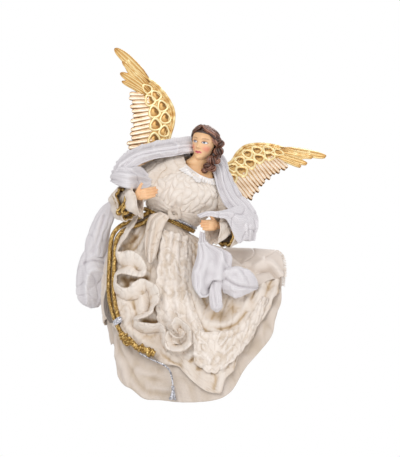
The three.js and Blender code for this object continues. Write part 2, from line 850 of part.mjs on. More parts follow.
function hand(arm) {
  const forward = arm.tip.clone().sub(arm.wrist);
  const palm = ellipsoid(PALM, vec(PALM.x * 0.95, 0, 0), 8, 5);
  const fingers = [-1.5, -0.5, 0.5, 1.5].map((place) => {
    const length = forward.length() - 1.5 * PALM.x - Math.abs(place - 0.3);
    const finger = new THREE.CapsuleGeometry(FINGER_RADIUS, length, 2, 5);
    finger.rotateZ(PI / 2);
    finger.translate(1.45 * PALM.x + length / 2, 0, place * 1.76 * FINGER_RADIUS);
    return finger;
  });
  const thumb = new THREE.CapsuleGeometry(FINGER_RADIUS, PALM.x, 2, 5);
  thumb.rotateZ(PI / 2);
  thumb.rotateY(-radians(52));
  thumb.translate(PALM.x, -0.6, PALM.z + 0.6);
  const ahead = forward.normalize();
  const up = vec(0, 0, 1).addScaledVector(ahead, -ahead.z).normalize();
  const frame = new THREE.Matrix4().makeBasis(ahead, up.clone().cross(ahead), up);
  return join(palm, ...fingers, thumb).applyMatrix4(frame.setPosition(arm.wrist));
}

function handWire(arm) {
  const end = arm.wrist.clone().lerp(arm.tip, HAND_STUB / arm.wrist.distanceTo(arm.tip));
  const ball = vec(1, 1, 1).multiplyScalar(WIRE_RADIUS);
  return join(bar(curve([arm.wrist, end]), WIRE_RADIUS, 5, 1), ellipsoid(ball, arm.wrist, 5, 4));
}

const filled = []; // sleeves and cuffs without their openings
for (const [side, arm] of Object.entries(ARMS)) {
  const path = curve([arm.shoulder, arm.elbow, arm.wrist]);
  const part = (from, to) => curve(steps(6).map((t) => path.getPointAt(mix(from, to, t))));

  const stub = handWire(arm);
  const hands = fitted(hand(arm), stub, armWire);
  add(`${side}_hand_wire`, stub, STEEL);
  add(`${side}_hand`, hands, SKIN);

  const paddingPath = part(0, 1 - WRIST_GAP / path.getLength());
  const padding = skin(ringsAlong(paddingPath, 5, 6, (t) => mix(ARM_ROOT - GAP, ARM_END, t)));
  add(`${side}_arm_padding`, fitted(padding, core, grown(bodice), hands, stub, armWire), STUFFING);

  const cuffPath = part(0.72, 0.99);
  const cuffRadius = (t, a) => mix(ARM_END + 2.2, CUFF_RIM, t * t) + 0.6 * t * sin(3 * a);
  const cuffInside = (t, a) => cuffRadius(t, a) - CLOTH;
  const cuffRings = [cuffRadius, cuffInside].map((radius) => ringsAlong(cuffPath, 4, 12, radius));
  const cuff = fitted(wall(...cuffRings), padding, hands);
  add(`${side}_cuff`, cuff, LACE);

  const sleevePath = part(0.06, 0.88);
  const sleeveRadius = (t, a) => mix(SLEEVE_ROOT, SLEEVE_RIM, t ** 1.6) + 1.2 * t * sin(4 * a);
  const sleeveInside = (t, a) => sleeveRadius(t, a) - CLOTH;
  const sleeveRings = [sleeveRadius, sleeveInside].map((radius) => ringsAlong(sleevePath, 5, 16, radius));
  const sleeve = fitted(wall(...sleeveRings), bodice, padding, cuff, block);
  add(`${side}_sleeve`, sleeve, CREAM);
  filled.push(skin(sleeveRings[0]), skin(cuffRings[0]), padding);

  const braidRadius = (t, a) => sleeveInside(t, a) - 2 * GAP - BRAID_RADIUS;
  const rim = ringsAlong(sleevePath, 5, 16, braidRadius).at(-1);
  add(`${side}_sleeve_braid`, fitted(bar(curve(rim), BRAID_RADIUS, 5, 16), sleeve, cuff), GOLD_THREAD);
}

// Skirt: a bell that swings to the figure's left, the same surface for every layer

const swing = curve(SKIRT_SWING);
const hem = curve(SKIRT_HEM);
const WAIST_DROP = -1.2; // top of the skirts along the torso's axis
const waistEnds = [PI, 0].map((turn) =>
  torsoPoint(0, turn, GAP + CLOTH).addScaledVector(TORSO_UP, WAIST_DROP),
);

function skirtBase(t, turn) {
  const across = (1 - cos(turn)) / 2;
  const waist = waistEnds[0].clone().lerp(waistEnds[1], across);
  const depth = mix(TORSO[0].halfDepth + GAP + CLOTH, HEM_DEPTH, t ** DEPTH_EASE);
  const point = waist
    .multiplyScalar((1 - t) ** 2)
    .addScaledVector(swing.getPoint(across), 2 * t * (1 - t))
    .addScaledVector(hem.getPoint(across), t * t);
  point.y = mix(TORSO[0].centre.y, SKIRT_Y, t) - depth * sin(turn);
  return point;
}

function skirtPoint(t, turn, offset) {
  const nudge = 0.01;
  const down = skirtBase(t + nudge, turn).sub(skirtBase(t, turn));
  const around = skirtBase(t, turn + nudge).sub(skirtBase(t, turn - nudge));
  const normal = down.cross(around).normalize();
  const fold = FOLD_DEPTH * t ** 1.5 * sin(SKIRT_FOLDS * turn + FOLD_TWIST * t);
  return skirtBase(t, turn).addScaledVector(normal, fold + offset);
}

const SKIRT_SIDES = 48;
const skirtRings = (from, to, count, offset, sides = SKIRT_SIDES) =>
  steps(count).map((t) =>
    steps(sides)
      .slice(0, -1)
      .map((a) => skirtPoint(mix(from, to, t), a * TURN, offset)),
  );

const underskirt = wall(
  skirtRings(0.02, 1, 5, CLOTH - UNDERSKIRT_INSET),
  skirtRings(0.02, 1, 5, -UNDERSKIRT_INSET),
);
const overskirt = wall(
  skirtRings(0, OVERSKIRT_LENGTH, 5, 0),
  skirtRings(0, OVERSKIRT_LENGTH, 5, -CLOTH),
);
add("underskirt", underskirt, SHEER);
add("overskirt", overskirt, CREAM);

const wadding = skin(skirtRings(0.06, WADDING_LENGTH, 4, -UNDERSKIRT_INSET - 6 * GAP, SKIRT_SIDES / 2));
add("skirt_wadding", fitted(wadding, spineWire), STUFFING);

const hemWirePath = curve(
  steps(36)
    .slice(0, -1)
    .map((a) => skirtPoint(0.98, a * TURN, -UNDERSKIRT_INSET - 6 * GAP - HEM_WIRE)),
);
add("hem_wire", bar(hemWirePath, HEM_WIRE, 4, 30), STEEL);

// Waist: braid belt, gathered sash and its knot

const BELT = { halfThick: BELT_RADIUS, halfHigh: BELT_RADIUS };
const TORSO_LENGTH = stations.centre.getLength();
const beltAt = (turn, out, high) =>
  torsoPoint((BELT_RADIUS + high) / TORSO_LENGTH, turn, 3 * GAP + CLOTH + BELT_RADIUS + out);
const belt = fitted(hoop(beltAt, BELT, 24), bodice, overskirt);
add("belt_braid", belt, GOLD_THREAD);

const SASH = { halfThick: SASH_THICKNESS / 2, halfHigh: SASH_HEIGHT / 2 };
const sashAt = (turn, out, high) =>
  torsoPoint(
    (2 * BELT_RADIUS + GAP + SASH_HEIGHT / 2 + high) / TORSO_LENGTH,
    turn,
    3 * GAP + CLOTH + SASH_THICKNESS / 2 + out,
  );
const sash = fitted(hoop(sashAt, SASH, 24), bodice, belt, block, ...wings);
add("waist_sash", sash, CREAM);
const knotPlace = sashAt(KNOT_TURN, SASH_THICKNESS, 0);
add("sash_knot", fitted(ellipsoid(KNOT, knotPlace, 10, 6), sash, bodice, belt), CREAM);

// Cords: two gold strands from the belt into a wrapped end, and a silver cord with a tassel

const wrapEnd = bar(curve(WRAP_ROUTE), GOLD_WRAP, 8, 8);
const strand = (points, radius, count) => bar(curve(points), radius, 8, count);
add("gold_cord_outer", strand(OUTER_ROUTE, GOLD_CORD, 18), GOLD_THREAD);
add("gold_cord_inner", strand(INNER_ROUTE, GOLD_CORD, 16), GOLD_THREAD);
add("gold_wrap", wrapEnd, GOLD_THREAD);
const wrapKnot = curve(WRAP_ROUTE).getPoint(0.28);
add("gold_knot", fitted(ellipsoid(WRAP_KNOT, wrapKnot, 8, 5), wrapEnd, overskirt), GOLD_THREAD);
add("silver_cord", strand(SILVER_ROUTE, SILVER_CORD, 14), SILVER_THREAD);

const tasselTop = SILVER_ROUTE.at(-1).clone().sub(vec(0, 0, GAP));
const tasselProfile = [
  [0, 0],
  [1.6 * SILVER_CORD, -0.6],
  [2.2 * SILVER_CORD, -2.4],
  [1.5 * SILVER_CORD, -3.6],
  [0.8 * TASSEL_FLARE, -0.6 * TASSEL_LENGTH],
  [TASSEL_FLARE, -TASSEL_LENGTH],
  [0, -0.94 * TASSEL_LENGTH],
];
const tassel = new THREE.LatheGeometry(
  tasselProfile.map(([r, z]) => new THREE.Vector2(r, z)).toReversed(),
  9,
);
tassel.rotateX(PI / 2);
tassel.translate(tasselTop.x, tasselTop.y, tasselTop.z);
add("silver_tassel", fitted(tassel, overskirt, underskirt), SILVER_THREAD);

const ribbonGrid = steps(6).map((t) => {
  const middle = curve(RIBBON_ROUTE).getPoint(t);
  return steps(1).map((c) => middle.clone().add(vec((2 * c - 1) * RIBBON_HALF, 0, 0)));
});
const strands = [made.gold_cord_outer, made.gold_cord_inner, wrapEnd];
add("taupe_ribbon", fitted(cloth(ribbonGrid, 0.6), overskirt, ...strands), SHEER);

// Lace and ruffles on the front of the skirt, placed by the front view

// The share of the length and the turn of the front of the skirt at a place in the front view
function skirtAt(x, z) {
  const nudge = 0.005;
  let t = 0.5;
  let turn = PI / 2;
  for (let i = 0; i < 25; i++) {
    const here = skirtBase(t, turn);
    const byLength = skirtBase(t + nudge, turn).sub(here).divideScalar(nudge);
    const byTurn = skirtBase(t, turn + nudge).sub(here).divideScalar(nudge);
    const scale = byLength.x * byTurn.z - byLength.z * byTurn.x;
    const dx = x - here.x;
    const dz = z - here.z;
    t += THREE.MathUtils.clamp((dx * byTurn.z - dz * byTurn.x) / scale, -0.1, 0.1);
    turn += THREE.MathUtils.clamp((byLength.x * dz - byLength.z * dx) / scale, -0.2, 0.2);
    t = THREE.MathUtils.clamp(t, 0.01, 1.05);
    turn = THREE.MathUtils.clamp(turn, 0.15, PI - 0.15);
  }
  return { t, turn };
}

function onSkirt(place, offset) {
  const { t, turn } = skirtAt(place.x, place.z);
  return skirtPoint(t, turn, offset);
}

const route = (pairs) => curve(pairs.map(([x, z]) => vec(x, 0, z)));

const laceLeft = route(LACE_EDGES.right);
const laceRight = route(LACE_EDGES.left);
const laceGrid = steps(8).map((t) =>
  steps(6).map((c) => onSkirt(laceLeft.getPoint(t).lerp(laceRight.getPoint(t), c), LACE_LIFT)),
);
const lace = fitted(cloth(laceGrid, GAUZE), overskirt, belt);
add("lace_panel", lace, LACE);

// A strip from a root line on the skirt to a free edge that stands away from it
function frill(roots, edges, rows, columns) {
  const root = route(roots);
  const edge = route(edges);
  const grid = steps(rows).map((t) => {
    const from = onSkirt(root.getPoint(t), RUFFLE_ROOT);
    const to = onSkirt(edge.getPoint(t), RUFFLE_STAND);
    return steps(columns).map((c) => from.clone().lerp(to, c));
  });
  return cloth(grid, CLOTH);
}

const cascade = fitted(frill(CASCADE.root, CASCADE.edge, 38, 2), overskirt, lace, belt, ...strands);
add("cascade_ruffle", cascade, CREAM);
add("rose_ruffle", fitted(frill(ROSE.root, ROSE.edge, 24, 2), overskirt, lace, cascade), CREAM);

const trainGrid = steps(6).map((t) =>
  steps(8).map((c) => skirtPoint(mix(0.5, 1, t), radians(mix(TRAIN.from, TRAIN.to, c)), TRAIN.lift)),
);
const train = fitted(cloth(trainGrid, CLOTH), overskirt, underskirt);
add("train", train, CREAM);

// Shawl: gauze bands round both arms, a band behind the neck and two hanging tails

function drape({ path, radii, edges, folds }, rows, columns) {
  const middle = curve(path);
  const radius = curve(radii.map((r) => vec(r, 0, 0)));
  const grid = steps(rows).map((t) => {
    const ahead = middle.getTangent(t);
    const up = vec(0, 0, 1).addScaledVector(ahead, -ahead.z).normalize();
    const front = up.clone().cross(ahead);
    if (front.y > 0) front.negate();
    return steps(columns).map((c) => {
      const angle = radians(mix(edges[0], edges[1], c));
      const r = radius.getPoint(t).x + folds * sin(5 * angle + 2 * t);
      return middle
        .getPoint(t)
        .addScaledVector(up, r * cos(angle))
        .addScaledVector(front, r * sin(angle));
    });
  });
  return cloth(grid, GAUZE);
}

function hanging({ path, halves, folds, depth, lobe }, rows, columns) {
  const middle = curve(path);
  const half = curve(halves.map((r) => vec(r, 0, 0)));
  const grid = steps(rows).map((t) =>
    steps(columns).map((c) => {
      const across = 2 * c - 1;
      const wave = sin(PI * folds * across + 1.5 * t);
      const drop = lobe * t * t * cos(PI * folds * across);
      return middle.getPoint(t).add(vec(half.getPoint(t).x * across, depth * wave * t ** 0.5, drop));
    }),
  );
  return cloth(grid, GAUZE);
}

const dress = [grown(bodice), ...filled, made.neck_frill, made.hair, bust];
const shawlRight = fitted(drape(SHAWL_RIGHT, 9, 9), ...dress, made.right_hand, ...wings);
add("shawl_right", shawlRight, WHITE_GAUZE);
const shawlLeft = fitted(drape(SHAWL_LEFT, 8, 8), ...dress, made.left_hand, ...wings);
add("shawl_left", shawlLeft, WHITE_GAUZE);
const backGrid = steps(8).map((t) => {
  const top = curve(SHAWL_BACK).getPoint(t);
  return steps(2).map((c) => top.clone().add(vec(0, 2 * c, -SHAWL_BACK_DROP * c)));
});
add("shawl_back", fitted(cloth(backGrid, GAUZE), ...dress, shawlRight, shawlLeft, block), WHITE_GAUZE);

const hangers = [...filled, made.left_hand, overskirt, underskirt, ...wings];
const tailRight = hanging(TAIL_RIGHT, 8, 10);
const tailLeft = hanging(TAIL_LEFT, 8, 10);
add("shawl_tail_right", fitted(tailRight, ...hangers, shawlRight), WHITE_GAUZE);
add("shawl_tail_left", fitted(tailLeft, ...hangers, lace, shawlLeft), WHITE_GAUZE);

export default angel;
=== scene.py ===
"""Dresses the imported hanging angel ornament: cloth, lace, cords, castings, hair and the stage."""

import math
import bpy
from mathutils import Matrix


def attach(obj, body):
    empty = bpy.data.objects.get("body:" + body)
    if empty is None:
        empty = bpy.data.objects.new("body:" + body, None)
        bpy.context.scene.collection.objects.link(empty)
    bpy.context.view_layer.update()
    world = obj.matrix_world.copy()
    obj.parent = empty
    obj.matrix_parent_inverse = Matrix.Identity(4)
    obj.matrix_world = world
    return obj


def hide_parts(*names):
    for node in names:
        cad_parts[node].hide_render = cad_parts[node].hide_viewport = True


bl_info = {
    "name": "Hanging Angel Ornament",
    "version": (1, 0, 0),
    "blender": (4, 5, 0),
    "location": "View3D > Sidebar > Angel",
    "description": "Builds the cloth, cords and castings of a hanging angel ornament",
    "category": "Object",
}

import bpy
import numpy as np

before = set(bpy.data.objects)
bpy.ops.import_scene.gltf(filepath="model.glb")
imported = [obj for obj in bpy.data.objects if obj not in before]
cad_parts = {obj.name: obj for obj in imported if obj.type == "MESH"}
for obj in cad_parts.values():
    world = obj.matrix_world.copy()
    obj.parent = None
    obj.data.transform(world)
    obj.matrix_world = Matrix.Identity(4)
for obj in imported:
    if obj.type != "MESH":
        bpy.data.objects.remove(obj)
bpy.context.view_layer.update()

MM = 0.001
TURN = 2 * math.pi
WAVE_BAND = TURN / 20  # a wave texture's bands repeat after this length at scale 1
BODY = "figure"

# Sizes in millimetres. Middles of the torso's rings from the waist to the collar
TORSO_CENTRES = [
    (-24.6, -24, -48.5), (-19, -24, -37.5), (-10.5, -24.5, -25.5), (-6, -24, -14.5), (-1.7, -24, -7),
    (2, -25, -2),
]
# Half width, half depth, and lean and nod in degrees of each ring
TORSO_SHAPES = [
    (18.6, 14, 25, 0), (22.4, 16.5, 23, 0), (30, 18.5, 20, 2), (28, 16, 18, 8), (20, 14, 23, 20),
    (13.5, 13, 29, 24),
]
TORSO_UP = np.array((7, 0, 11)) / math.hypot(7, 11)
TORSO_LENGTH = 54.0

# Head, in its own frame and then turned to its place
HEAD_CENTRE = np.array((5.9, -28, 18.6))
HEAD_YAW = math.radians(-24)
HEAD_ROLL = math.radians(9)
HEAD_WIDE = 1.13  # the head is a little broader than its ovals

# Arms from shoulder to finger tip
ARMS = {
    "right": {
        "shoulder": (-33, -25, -8),
        "elbow": (-69, -36, -30),
        "wrist": (-52, -56, -26.5),
        "tip": (-31.5, -62, -22),
    },
    "left": {
        "shoulder": (17, -25, -24),
        "elbow": (40, -34, -48),
        "wrist": (17.5, -56, -51.5),
        "tip": (2.5, -69, -51),
    },
}

# Skirt: front view of its swing and hem
SKIRT_SWING = [(-93, -68), (-30, -112), (14.5, -79)]
SKIRT_HEM = [
    (-72, -153), (-62, -187), (-35, -201), (5, -199), (34, -176), (59, -153), (71, -119), (74.5, -78),
]
SKIRT_MIDDLE = (-24, -22)  # its middle in depth, at the waist and at the hem
SKIRT_DEPTH = (15.5, 46)  # its half depth there
SKIRT_FLUTES = 8
FLUTE_HEIGHT = 3.6
SKIRT_INSET = 3.0  # the sheer underskirt below the overskirt
FRONT = (-27, -38)  # depths where folds drawn in the front view begin and are full

# Wings: stance on the back, and places in the blade's own frame
WING_STANCE = {
    "right": {"raise": 64.3, "pitch": 0, "root": (13.2, -0.8, -20.6)},
    "left": {"raise": 7.4, "pitch": 36, "root": (-6, -0.8, -9.2)},
}
WING_SWEEP = math.radians(14)
BODY_YAW = math.radians(14)  # the turn of the body on its hanger
WING_LEADING = [
    (6, 6), (24, 6.5), (41, 8), (53.7, 18), (64.7, 23.2), (78.7, 22.8), (91.2, 19), (102.2, 12.9),
    (112.7, 8.6), (125, 5.5), (133, 2.4),
]
WING_TRAILING = [(6, -15), (26, -17), (40, -18), (58, -17), (72, -6), (86, 1), (96, 3), (112, 1), (132, 1)]
# Scales: place, half length, half width and lean in degrees
WING_CELLS = [
    (36, -9, 5.2, 4.6, 20), (48.6, -3, 5.6, 5.0, 25), (59.6, 3.4, 5.2, 4.8, 22), (70, 7.2, 5.2, 4.6, 12),
    (80.5, 8.2, 4.8, 4.2, -8), (41.5, 1.6, 4.6, 4.0, 30), (51.4, 7.6, 4.9, 4.2, 35),
    (61.2, 13.4, 4.9, 4.3, 25), (71.4, 15.6, 4.9, 4.1, 5), (82, 14.6, 4.8, 3.8, -14),
    (90.5, 10.4, 4.4, 3.4, -24),
]
# Long feathers: root, tip and half width
WING_PRIMARIES = [
    ((94, 13.5), (134, 0.2), 4.4),
    ((88, 12), (121, 1.2), 3.2),
    ((84, 11), (113, -4.6), 3.6),
    ((84, 8), (106, -6.5), 2.6),
]
# Ends of the close row of short feathers, from the tip of the wing inwards
WING_RIB_ROOTS = [(86, 9), (74, 5.5), (62, 1), (48, -5.5), (36, -11), (24, -15)]
WING_RIB_TIPS = [(93, -5), (82, -8.5), (70, -13.5), (60, -20), (50, -28), (40, -33), (30, -33)]

# The wooden block behind the torso and the wings' feet on it, in the frame of the turned body
BLOCK_HALF_WIDTH = 20.0
BLOCK_HALF_HEIGHT = 15.0
BLOCK_MIDDLE = -27.2
BLOCK_BACK = -2.4
BLOCK_CLEAR = 1.8  # how far in front of the block's back the clothes lie
BLOCK_EASE = 1.2  # how steeply they come out again beside it
LUG_MIDDLE = (12.9, -23.5)
LUG_HALF = (5.5, 11.0)
LUG_LAYERS = [(-2.1, 0.0), (0.0, 0.0), (0.38, 0.35)]  # level and inset of each ring of its outline

# The ring that hangs the figure up
RING_RADIUS = 5.7
RING_WIRE = 0.7  # radius of its wire
RING_DROP = 5.0  # its middle below the hook
RING_ROOM = 7.4  # half width of the lane that it swings in, kept free of the wings

# Cord routes, as in the part
CORD_STEP = 0.5
CORD_TWIST = 2.4  # length of one turn of the strands, in diameters
OUTER_ROUTE = [
    (-41, -38.25, -40.6), (-50, -37.45, -45), (-58.5, -36.65, -48.4), (-66, -36.25, -52.6),
    (-71, -36.25, -58.5), (-73.2, -36.65, -66.5), (-74, -37.65, -76.5), (-74.5, -38.85, -87.5),
    (-74.9, -40.85, -98), (-74.8, -42.85, -108), (-73.6, -45.45, -117.5), (-71.2, -49.05, -126.6),
    (-68.4, -53.25, -134), (-64.35, -58, -142.15),
]
INNER_ROUTE = [
    (-39, -39.85, -45), (-47, -39.25, -49.8), (-56, -38.45, -53), (-63, -38.05, -56.6),
    (-67.3, -38.25, -61), (-69.1, -39.05, -68), (-69.9, -40.65, -78), (-70.4, -42.25, -88),
    (-70.8, -43.85, -98), (-70.6, -46.45, -108), (-69.4, -49.25, -117.6), (-67.4, -52.65, -126.4),
    (-65.4, -55.85, -132.4),
]
WRAP_ROUTE = [
    (-64, -58.35, -142.7), (-59.4, -61.2, -148.4), (-52, -62.4, -152.9), (-43.6, -63.2, -156.8),
    (-36, -64.2, -160.6),
]
SILVER_ROUTE = [
    (-48.6, -62.2, -159.2), (-41.6, -62.6, -162.8), (-34.4, -63, -166.4), (-28, -63.4, -169.2),
    (-23.6, -64.2, -173), (-21.4, -65.2, -179), (-20.4, -66.2, -186),
]
RIBBON_ROUTE = [(-75.8, -38.6, -106), (-77, -40, -116), (-76, -44, -126), (-72.5, -48.5, -134)]

# Front views of the lace and ruffles on the skirt
LACE_RIGHT = [(-29, -55), (-32, -80), (-34, -112), (-32, -135), (-26, -152)]
LACE_LEFT = [(-9, -62), (-8, -90), (-4, -115), (4, -136), (12, -152)]
CASCADE_ROOT = [
    (-48, -43.4), (-58.1, -50), (-68, -63.3), (-69.9, -76.9), (-66.3, -83.3), (-60.6, -87.2),
    (-52.8, -88.7), (-48.8, -90.5), (-47.8, -91.4), (-49.6, -91.6), (-51.7, -89.2), (-55.5, -85.4),
    (-62.8, -87.5), (-68.6, -92.8), (-69.9, -101), (-67.6, -109.4), (-60.7, -114.3), (-52.4, -114.1),
    (-45.4, -109.6), (-42.8, -106.1), (-41.3, -107.6), (-40.4, -110.8), (-39.6, -114.8),
    (-39.3, -118.6), (-41, -123.6), (-44.3, -125.2), (-48.5, -126.8), (-53.7, -130.4), (-54.1, -135.8),
    (-50.1, -140.6), (-44.7, -142.4), (-36.1, -141.9), (-32, -141.6), (-30.9, -145.6), (-29.6, -151.9),
    (-25.8, -159),
]
CASCADE_EDGE = [
    (-42.1, -42.8), (-50, -55.2), (-55.7, -61.9), (-60.7, -70.4), (-62.7, -76), (-59, -75.4),
    (-52.8, -75.4), (-46.6, -78.8), (-42.7, -85.6), (-41.8, -91.2), (-44.4, -95.7), (-51.1, -95.7),
    (-59, -94), (-63.8, -95.7), (-64.4, -100.2), (-62.4, -103.6), (-58.5, -106.2), (-54, -104.2),
    (-50.6, -100.8), (-44.9, -98), (-39.9, -100.2), (-33.1, -104.2), (-31.1, -110.4), (-32, -117.2),
    (-35.8, -122.2), (-38.3, -127), (-44, -130.1), (-47.7, -131.8), (-47.5, -133.3), (-46.3, -134.4),
    (-41.8, -135), (-36.1, -135.5), (-29.8, -135), (-26.1, -140.4), (-25.8, -148.9), (-23.8, -154.6),
]
ROSE_ROOT = [
    (-11.9, -143.7), (-13.6, -146.2), (-17, -145.3), (-19.6, -144.5), (-20.4, -147), (-19.6, -151.3),
    (-14.4, -153), (-10.2, -149.6), (-10.2, -143.7), (-12.8, -139.4), (-14.9, -138.1), (-16.1, -140.2),
    (-15.3, -143.7),
]
ROSE_EDGE = [
    (-8.5, -143), (-12.3, -147.5), (-18.9, -146.9), (-23.8, -141.9), (-26.3, -148.2), (-24.2, -156.8),
    (-13.7, -158.9), (-4.2, -152.9), (-4.7, -140.2), (-11.9, -133), (-17, -130.5), (-20.8, -136.8),
    (-16.2, -143),
]

# Shawl: curves that each sheet runs through
SHAWL_RIGHT_BAND = [
    [(7.6, -8, 16.1), (5.1, -10, 22.9), (2.5, -20, 16.1), (0, -20, 10.2)],
    [(0, -8, 15.3), (-6, -14, 24.6), (-8.5, -32, 17), (-6.8, -31, 10.2)],
    [(-16.1, -8, 12.8), (-19.6, -16, 22.9), (-21.2, -38, 15.3), (-19.6, -37, 7.6)],
    [(-33.1, -10, 9.3), (-36.5, -20, 19.6), (-38.2, -43, 12.8), (-35.7, -43, 5.1)],
    [(-46.8, -14, 4.2), (-50.1, -26, 15.3), (-51.9, -48, 9.3), (-47.6, -49, 0.8)],
    [(-59.5, -20, -2.5), (-63.3, -34, 7.6), (-63.8, -52, 1.7), (-56.9, -54, -5.1)],
    [(-68, -28, -12.8), (-71.4, -40, -6), (-70.5, -53, -8.5), (-65.5, -55, -11.9)],
]
SHAWL_RIGHT_FLAP = [
    [(-71.4, -44, -5.1), (-73.1, -50, -9.8), (-72.7, -46, -13.6)],
    [(-64.6, -54, -1.7), (-66.7, -59, -9.3), (-67.1, -55, -17)],
    [(-56.1, -56, -2.5), (-57.8, -62, -11), (-59.1, -60, -19.8)],
    [(-50.1, -49, -1.3), (-50.1, -51, -11), (-51, -51, -20.6)],
    [(-45.5, -42, -3.4), (-43.4, -43, -11.9), (-44.2, -43, -20.2)],
    [(-42.5, -39, -8.1), (-39.6, -39, -12.8), (-39.1, -39, -17)],
]
SHAWL_LEFT_BAND = [
    [(6.8, -8, 12.8), (12.8, -10, 14.4), (12.8, -20, 6), (7.6, -22, 0.8)],
    [(11, -8, 4.2), (22.1, -12, 6), (20.4, -26, -1.7), (13.6, -30, -6.8)],
    [(25.5, -10, -6), (28.1, -18, -10.2), (23.8, -32, -15.3), (17, -36, -19.6)],
    [(33.1, -14, -21.2), (35.7, -24, -24.6), (30.6, -40, -28.9), (22.1, -44, -32.3)],
    [(42.5, -22, -33.1), (45.9, -30, -36.1), (39.1, -46, -39.1), (28.1, -54, -39.9)],
    [(48.4, -30, -43.4), (51.4, -36, -48.4), (44.2, -50, -51.9), (35.7, -56, -51.9)],
    [(45, -36, -61.2), (48.4, -40, -63.8), (43.4, -46, -64.6), (38.2, -50, -63.8)],
]
SHAWL_LEFT_FLAP = [
    [(0, -70, -42.9), (1.3, -70.5, -43.8), (2.5, -70, -44.6)],
    [(9.3, -69, -39.9), (9.8, -71, -41.2), (9.8, -70, -42.5)],
    [(18.7, -65, -39.5), (18.7, -69, -42.1), (18.7, -68, -44.6)],
    [(27.2, -58, -37.4), (27.2, -64, -42.5), (25.5, -65, -47.6)],
    [(34.9, -51, -34.9), (35.7, -58, -47.6), (34, -58, -65.5)],
    [(43.4, -44, -37.4), (42.9, -50, -50.1), (39.9, -52, -63.8)],
    [(49.7, -37, -45), (48.4, -42, -53.5), (45.5, -45, -62.9)],
]
TAIL_LEFT_DRAPE = [
    [(2.5, -62, -56.4), (4.7, -65, -57.2), (6.8, -62, -58)],
    [(1.3, -65, -65.5), (5.1, -70, -66.3), (10.2, -66, -66.3)],
    [(-0.4, -66, -78.2), (4.2, -72, -79), (11.9, -69, -77.3), (19.6, -64, -74.8), (28.1, -59, -74.8)],
    [(-4.2, -66, -91.8), (0, -74, -94.3), (8.5, -70, -91.8), (18.7, -69, -89.2), (29.3, -61, -85.8)],
    [(-3.4, -67, -102.8), (0.8, -76, -107.1), (7.2, -71, -100.3), (17.8, -70, -96.9), (28.1, -63, -95.2)],
    [(1.7, -67, -109.6), (6.8, -72, -111.3), (8.9, -66, -104.5), (17, -65, -97.8), (25.5, -61, -98.6)],
    [(8.5, -64, -109.6), (11.9, -66, -108), (11, -62, -102.8), (17, -61, -96.9), (24.6, -58, -97.8)],
]
# Puffs: node, path, half widths, half depths and creases, each with a height, a half width and a line
PUFFS = {
    "shawl_tail_right_upper": (
        "shawl_tail_right",
        [
            (-71.4, -27, -32.3), (-76.5, -25, -41.6), (-81.6, -23, -52.7), (-85, -20, -66.3),
            (-85.8, -19, -78.2),
        ],
        [3.5, 7, 8, 9.2, 9.6],
        [3, 4, 6, 7.5, 8],
        [(-1.6, 1.6, [(-79, -43.4), (-83.3, -59.5), (-88.4, -74)])],
    ),
    "shawl_tail_right_lower": (
        "shawl_tail_right",
        [
            (-85, -19, -72.2), (-87.1, -18, -82.5), (-88.8, -17, -98.6), (-88.8, -18, -113),
            (-87.5, -19, -121.5),
        ],
        [8.4, 12.2, 13.4, 11.8, 3],
        [6, 9, 10, 8, 2],
        [
            (1.8, 1.8, [
                (-93.5, -117.3), (-94.3, -102), (-91, -91), (-84.1, -89.2), (-79, -94.3), (-79, -111.3),
            ]),
            (-2.4, 4.5, [(-86.7, -114.8), (-86.7, -99.5)]),
            (-1.6, 1.6, [(-96, -83.3), (-89.2, -80.8), (-79.9, -83.3)]),
        ],
    ),
    "shawl_tail_left_long": (
        "shawl_tail_left",
        [
            (18.7, -63, -96), (15.7, -67, -106.2), (16.1, -68, -114.8), (16.6, -68, -120.7),
            (17, -67, -124.5),
        ],
        [3, 4.6, 5.2, 4.4, 1],
        [2.5, 4, 4.4, 3.6, 1],
        [(-1.5, 1.2, [(13.6, -101.1), (14.4, -109.6), (16.1, -119)])],
    ),
    "shawl_tail_left_leaf": (
        "shawl_tail_left",
        [(20.4, -61, -102), (28.9, -64, -99.5), (39.1, -63, -99.5), (46.8, -60, -102), (51.4, -58, -104.5)],
        [6, 12.6, 12, 6.5, 1],
        [3, 4.6, 4.8, 3, 0.8],
        [
            (-2.4, 1.5, [(24.6, -96.9), (34, -102), (43.4, -103.7), (51, -104.5)]),
            (-1.4, 1.3, [(34.9, -86.7), (40.8, -94.3), (44.2, -101.1)]),
            (1.4, 2.6, [(24.6, -91), (33.1, -89.2), (39.1, -94.3)]),
        ],
    ),
}

# Front view of the overskirt's hem, from right to left
OVERSKIRT_HEM = [
    (-66.3, -140.2), (-52.7, -154.7), (-38.2, -162.3), (-27.2, -167.4), (-14.4, -171.7), (-5.1, -181.9),
    (6.8, -191.2), (20.4, -192.1), (29.8, -174.2), (36.5, -157.2), (49.3, -138.5), (65, -116), (70.5, -99),
]

